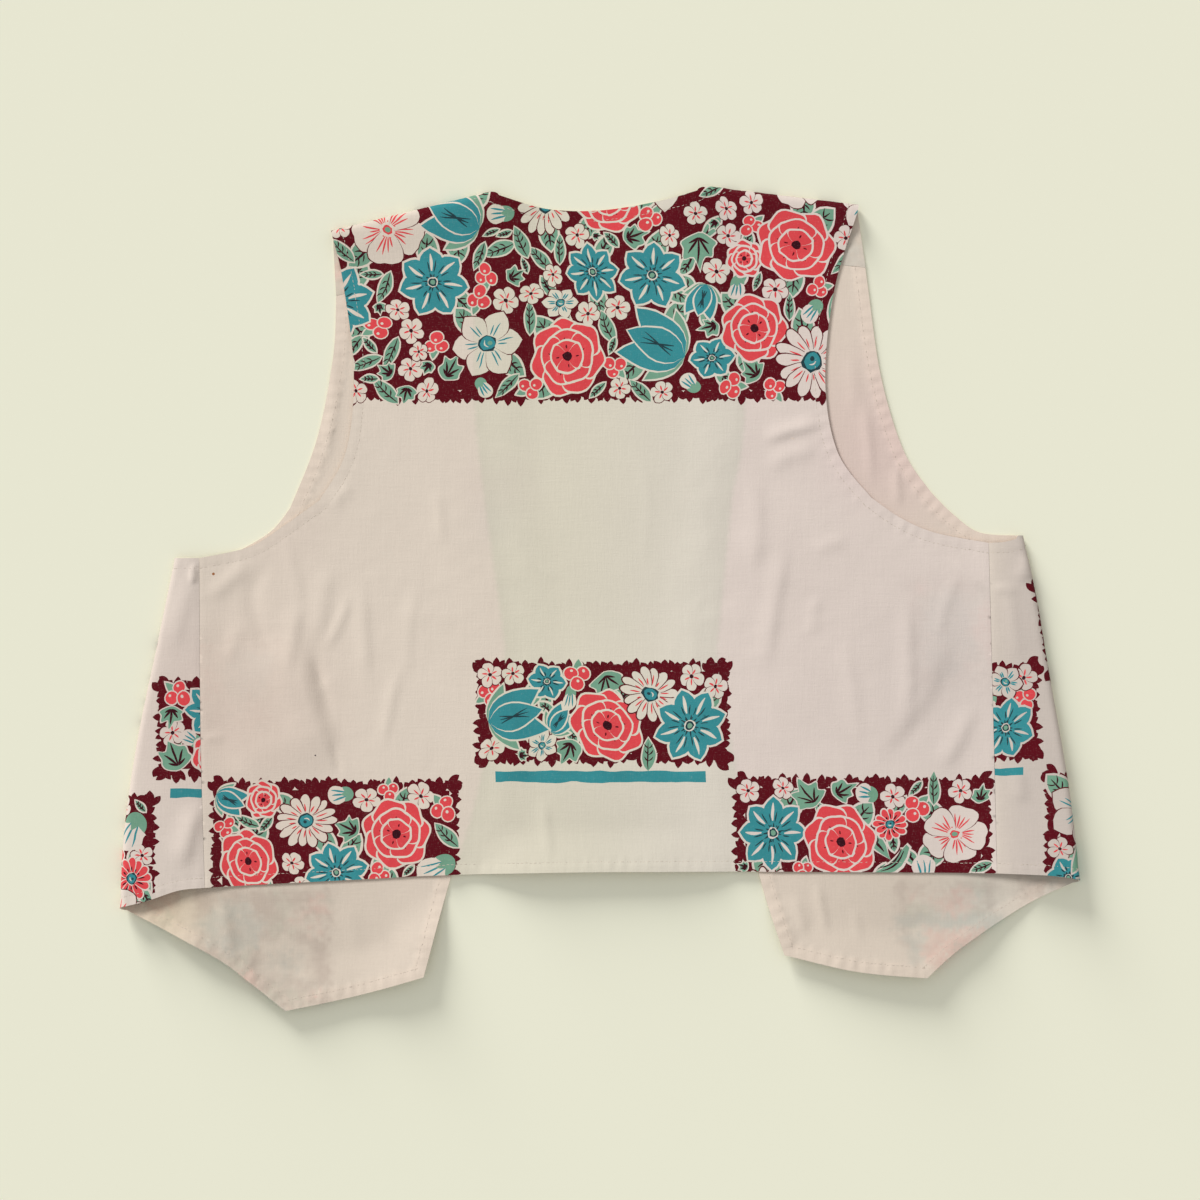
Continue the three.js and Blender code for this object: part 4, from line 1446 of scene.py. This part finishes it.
def streaks(tree, scale, detail=2.0):
    """Noise stretched along the threads."""
    nodes, links = tree.nodes, tree.links
    place = nodes.new("ShaderNodeTexCoord")
    mapping = nodes.new("ShaderNodeMapping")
    mapping.inputs["Scale"].default_value = scale
    grain = nodes.new("ShaderNodeTexNoise")
    grain.inputs["Scale"].default_value = 1.0
    grain.inputs["Detail"].default_value = detail
    links.new(place.outputs["Object"], mapping.inputs["Vector"])
    links.new(mapping.outputs["Vector"], grain.inputs["Vector"])
    return grain.outputs["Fac"]


def attribute(tree, name):
    node = tree.nodes.new("ShaderNodeAttribute")
    node.attribute_name = name
    return node


def feed(tree, socket, value):
    """Gives a socket its value, or links it to another socket."""
    if isinstance(value, (int, float, tuple)):
        socket.default_value = value
    else:
        tree.links.new(value, socket)


def calculated(tree, operation, *values):
    node = tree.nodes.new("ShaderNodeMath")
    node.operation = operation
    for socket, value in zip(node.inputs, values):
        feed(tree, socket, value)
    return node.outputs[0]


def ranged(tree, value, low, high, to_low, to_high):
    node = tree.nodes.new("ShaderNodeMapRange")
    tree.links.new(value, node.inputs["Value"])
    for key, number in (("From Min", low), ("From Max", high), ("To Min", to_low), ("To Max", to_high)):
        node.inputs[key].default_value = number
    return node.outputs["Result"]


def mixed(tree, kind, factor, first, second):
    node = tree.nodes.new("ShaderNodeMix")
    node.data_type = "RGBA"
    node.blend_type = kind
    for place, value in ((0, factor), (6, first), (7, second)):
        feed(tree, node.inputs[place], value)
    return node.outputs[2]


def printed_cotton():
    material, tree, principled = shader("printed_cotton", 0.9, 0.03)
    nodes, links = tree.nodes, tree.links
    ink, tint = attribute(tree, "print"), attribute(tree, "tint")
    weft = streaks(tree, (70.0, 900.0, 200.0))
    warp = streaks(tree, (900.0, 70.0, 200.0))
    fine_weft = streaks(tree, (400.0, 2400.0, 900.0))
    fine_warp = streaks(tree, (2400.0, 400.0, 900.0))
    slub = calculated(tree, "ADD", weft, warp)
    threads = calculated(tree, "ADD", fine_weft, fine_warp)
    weave = calculated(tree, "ADD", slub, threads)
    missed = ranged(tree, threads, 1.12, 1.3, 0.0, 0.09)
    cover = calculated(tree, "MULTIPLY", ink.outputs["Alpha"], calculated(tree, "SUBTRACT", 1.0, missed))
    blotch = streaks(tree, (60.0, 60.0, 60.0), 4.0)
    ink_shade = ranged(tree, blotch, 0.3, 0.7, 0.93, 1.07)
    shaded_ink = mixed(tree, "MULTIPLY", 1.0, ink.outputs["Color"], ink_shade)
    base = mixed(tree, "MULTIPLY", 1.0, (*CLOTH, 1.0), tint.outputs["Color"])
    cloth_shade = ranged(tree, weave, 1.6, 2.4, 0.975, 1.02)
    coloured = mixed(tree, "MIX", cover, base, shaded_ink)
    links.new(mixed(tree, "MULTIPLY", 1.0, coloured, cloth_shade), principled.inputs["Base Color"])
    bump = nodes.new("ShaderNodeBump")
    bump.inputs["Strength"].default_value = 0.4
    bump.inputs["Distance"].default_value = 0.00022
    links.new(weave, bump.inputs["Height"])
    links.new(bump.outputs["Normal"], principled.inputs["Normal"])
    return material


def sewing_thread():
    material, tree, principled = shader("sewing_thread", 0.7, 0.2)
    shade = ranged(tree, streaks(tree, (700.0, 700.0, 700.0)), 0.3, 0.7, 0.92, 1.05)
    colour = mixed(tree, "MULTIPLY", 1.0, (*THREAD, 1.0), shade)
    tree.links.new(colour, principled.inputs["Base Color"])
    return material


FLOOR_BRIGHTENING = 1.19   # makes up for the weaker lamp over the floor


def floor_paper():
    material, _, principled = shader("floor", 0.95, 0.0)
    principled.inputs["Base Color"].default_value = (*FLOOR * FLOOR_BRIGHTENING, 1.0)
    return material


# ---------------------------------------------------------------- light and camera
def sun(name, share, elevation, azimuth, softness):
    """A lamp that gives a level surface that share of full light. Azimuth runs anticlockwise from +X."""
    light = bpy.data.lights.new(name, "SUN")
    up, round_ = math.radians(elevation), math.radians(azimuth)
    light.energy = share * math.pi / math.sin(up)
    light.angle = math.radians(softness)
    lamp = bpy.data.objects.new(name, light)
    source = Vector((math.cos(up) * math.cos(round_), math.cos(up) * math.sin(round_), math.sin(up)))
    lamp.rotation_mode = "QUATERNION"
    lamp.rotation_quaternion = source.to_track_quat("Z", "Y")
    bpy.context.scene.collection.objects.link(lamp)
    return lamp


def lit_alone(lamp, name):
    """Gives a lamp its own collection of objects that it lights."""
    group = bpy.data.collections.new(name)
    lamp.light_linking.receiver_collection = group
    return group


AMBIENT = 0.55
KEY_SHARE = 1 - AMBIENT
LOW_SHARE = 0.29
KEY = {"elevation": 35, "azimuth": 138, "softness": 22}
LOW = {"elevation": 10, "azimuth": 119, "softness": 24}
LENS, SENSOR = 85.0, 36.0
CAMERA_PLACE = (0.0, -0.00093, 1.757)   # in metres, looking straight down
FLOOR_SIZE = 6.0


def studio():
    """Soft light from the upper left. A lower one gives the garment's shadow on the floor."""
    scene = bpy.context.scene
    scene.view_settings.view_transform = "Standard"
    world = bpy.data.worlds.new("studio")
    scene.world = world
    world.use_nodes = True
    background = world.node_tree.nodes["Background"]
    background.inputs["Color"].default_value = (1.0, 1.0, 1.0, 1.0)
    background.inputs["Strength"].default_value = AMBIENT
    key, low = sun("key", KEY_SHARE, **KEY), sun("floor_light", LOW_SHARE, **LOW)
    groups = lit_alone(key, "lit_by_key"), lit_alone(low, "lit_by_floor_light")
    camera = bpy.data.cameras.new("camera")
    camera.lens, camera.sensor_width = LENS, SENSOR
    camera.clip_start, camera.clip_end = 0.1, 20.0
    eye_point = bpy.data.objects.new("camera", camera)
    eye_point.location = CAMERA_PLACE
    scene.collection.objects.link(eye_point)
    scene.camera = eye_point
    bpy.ops.mesh.primitive_plane_add(size=FLOOR_SIZE, location=(0.0, 0.0, 0.0))
    floor = bpy.context.object
    floor.name = "floor"
    floor.data.materials.append(floor_paper())
    groups[1].objects.link(floor)
    return groups[0]


# ---------------------------------------------------------------- assembly
def declare(piece, node, extra, garment):
    garment.objects.link(piece)
    garment.objects.link(extra)
    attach(piece, "root")
    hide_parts(node)
    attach(extra, "root")


def main():
    cotton, thread = printed_cotton(), sewing_thread()
    fronts = [
        Panel(
            f"cloth_front_{side.name}",
            front_stretches(side),
            lambda flat, s=side: place_front(s, flat),
            -1,
            front_print(side),
            (2.8, 1.7),
            side.turning,
        )
        for side in SIDES
    ]
    left, right = SIDES
    back = Panel(
        "cloth_back",
        back_stretches(),
        place_back,
        1,
        back_print(),
        (6.0, 2.4),
        lambda flat: left.over_shoulder(flat) | right.over_shoulder(flat),
    )
    garment = studio()
    for panel, node in ((fronts[0], "front_left"), (fronts[1], "front_right")):
        piece = cloth(panel, cotton)
        hems = [line for kind, line in panel.stretches if kind == "hem"]
        rows = [(line, side) for line in hems for side in (1, -1)]
        extra = stitches(f"stitching_{node}", panel, rows, thread)
        declare(piece, node, extra, garment)
    piece = cloth(back, cotton, fronts)
    rows = [(line, 1) for kind, line in back.stretches if kind == "hem"]
    extra = stitches("stitching_back", back, rows, thread)
    declare(piece, "back", extra, garment)


main()
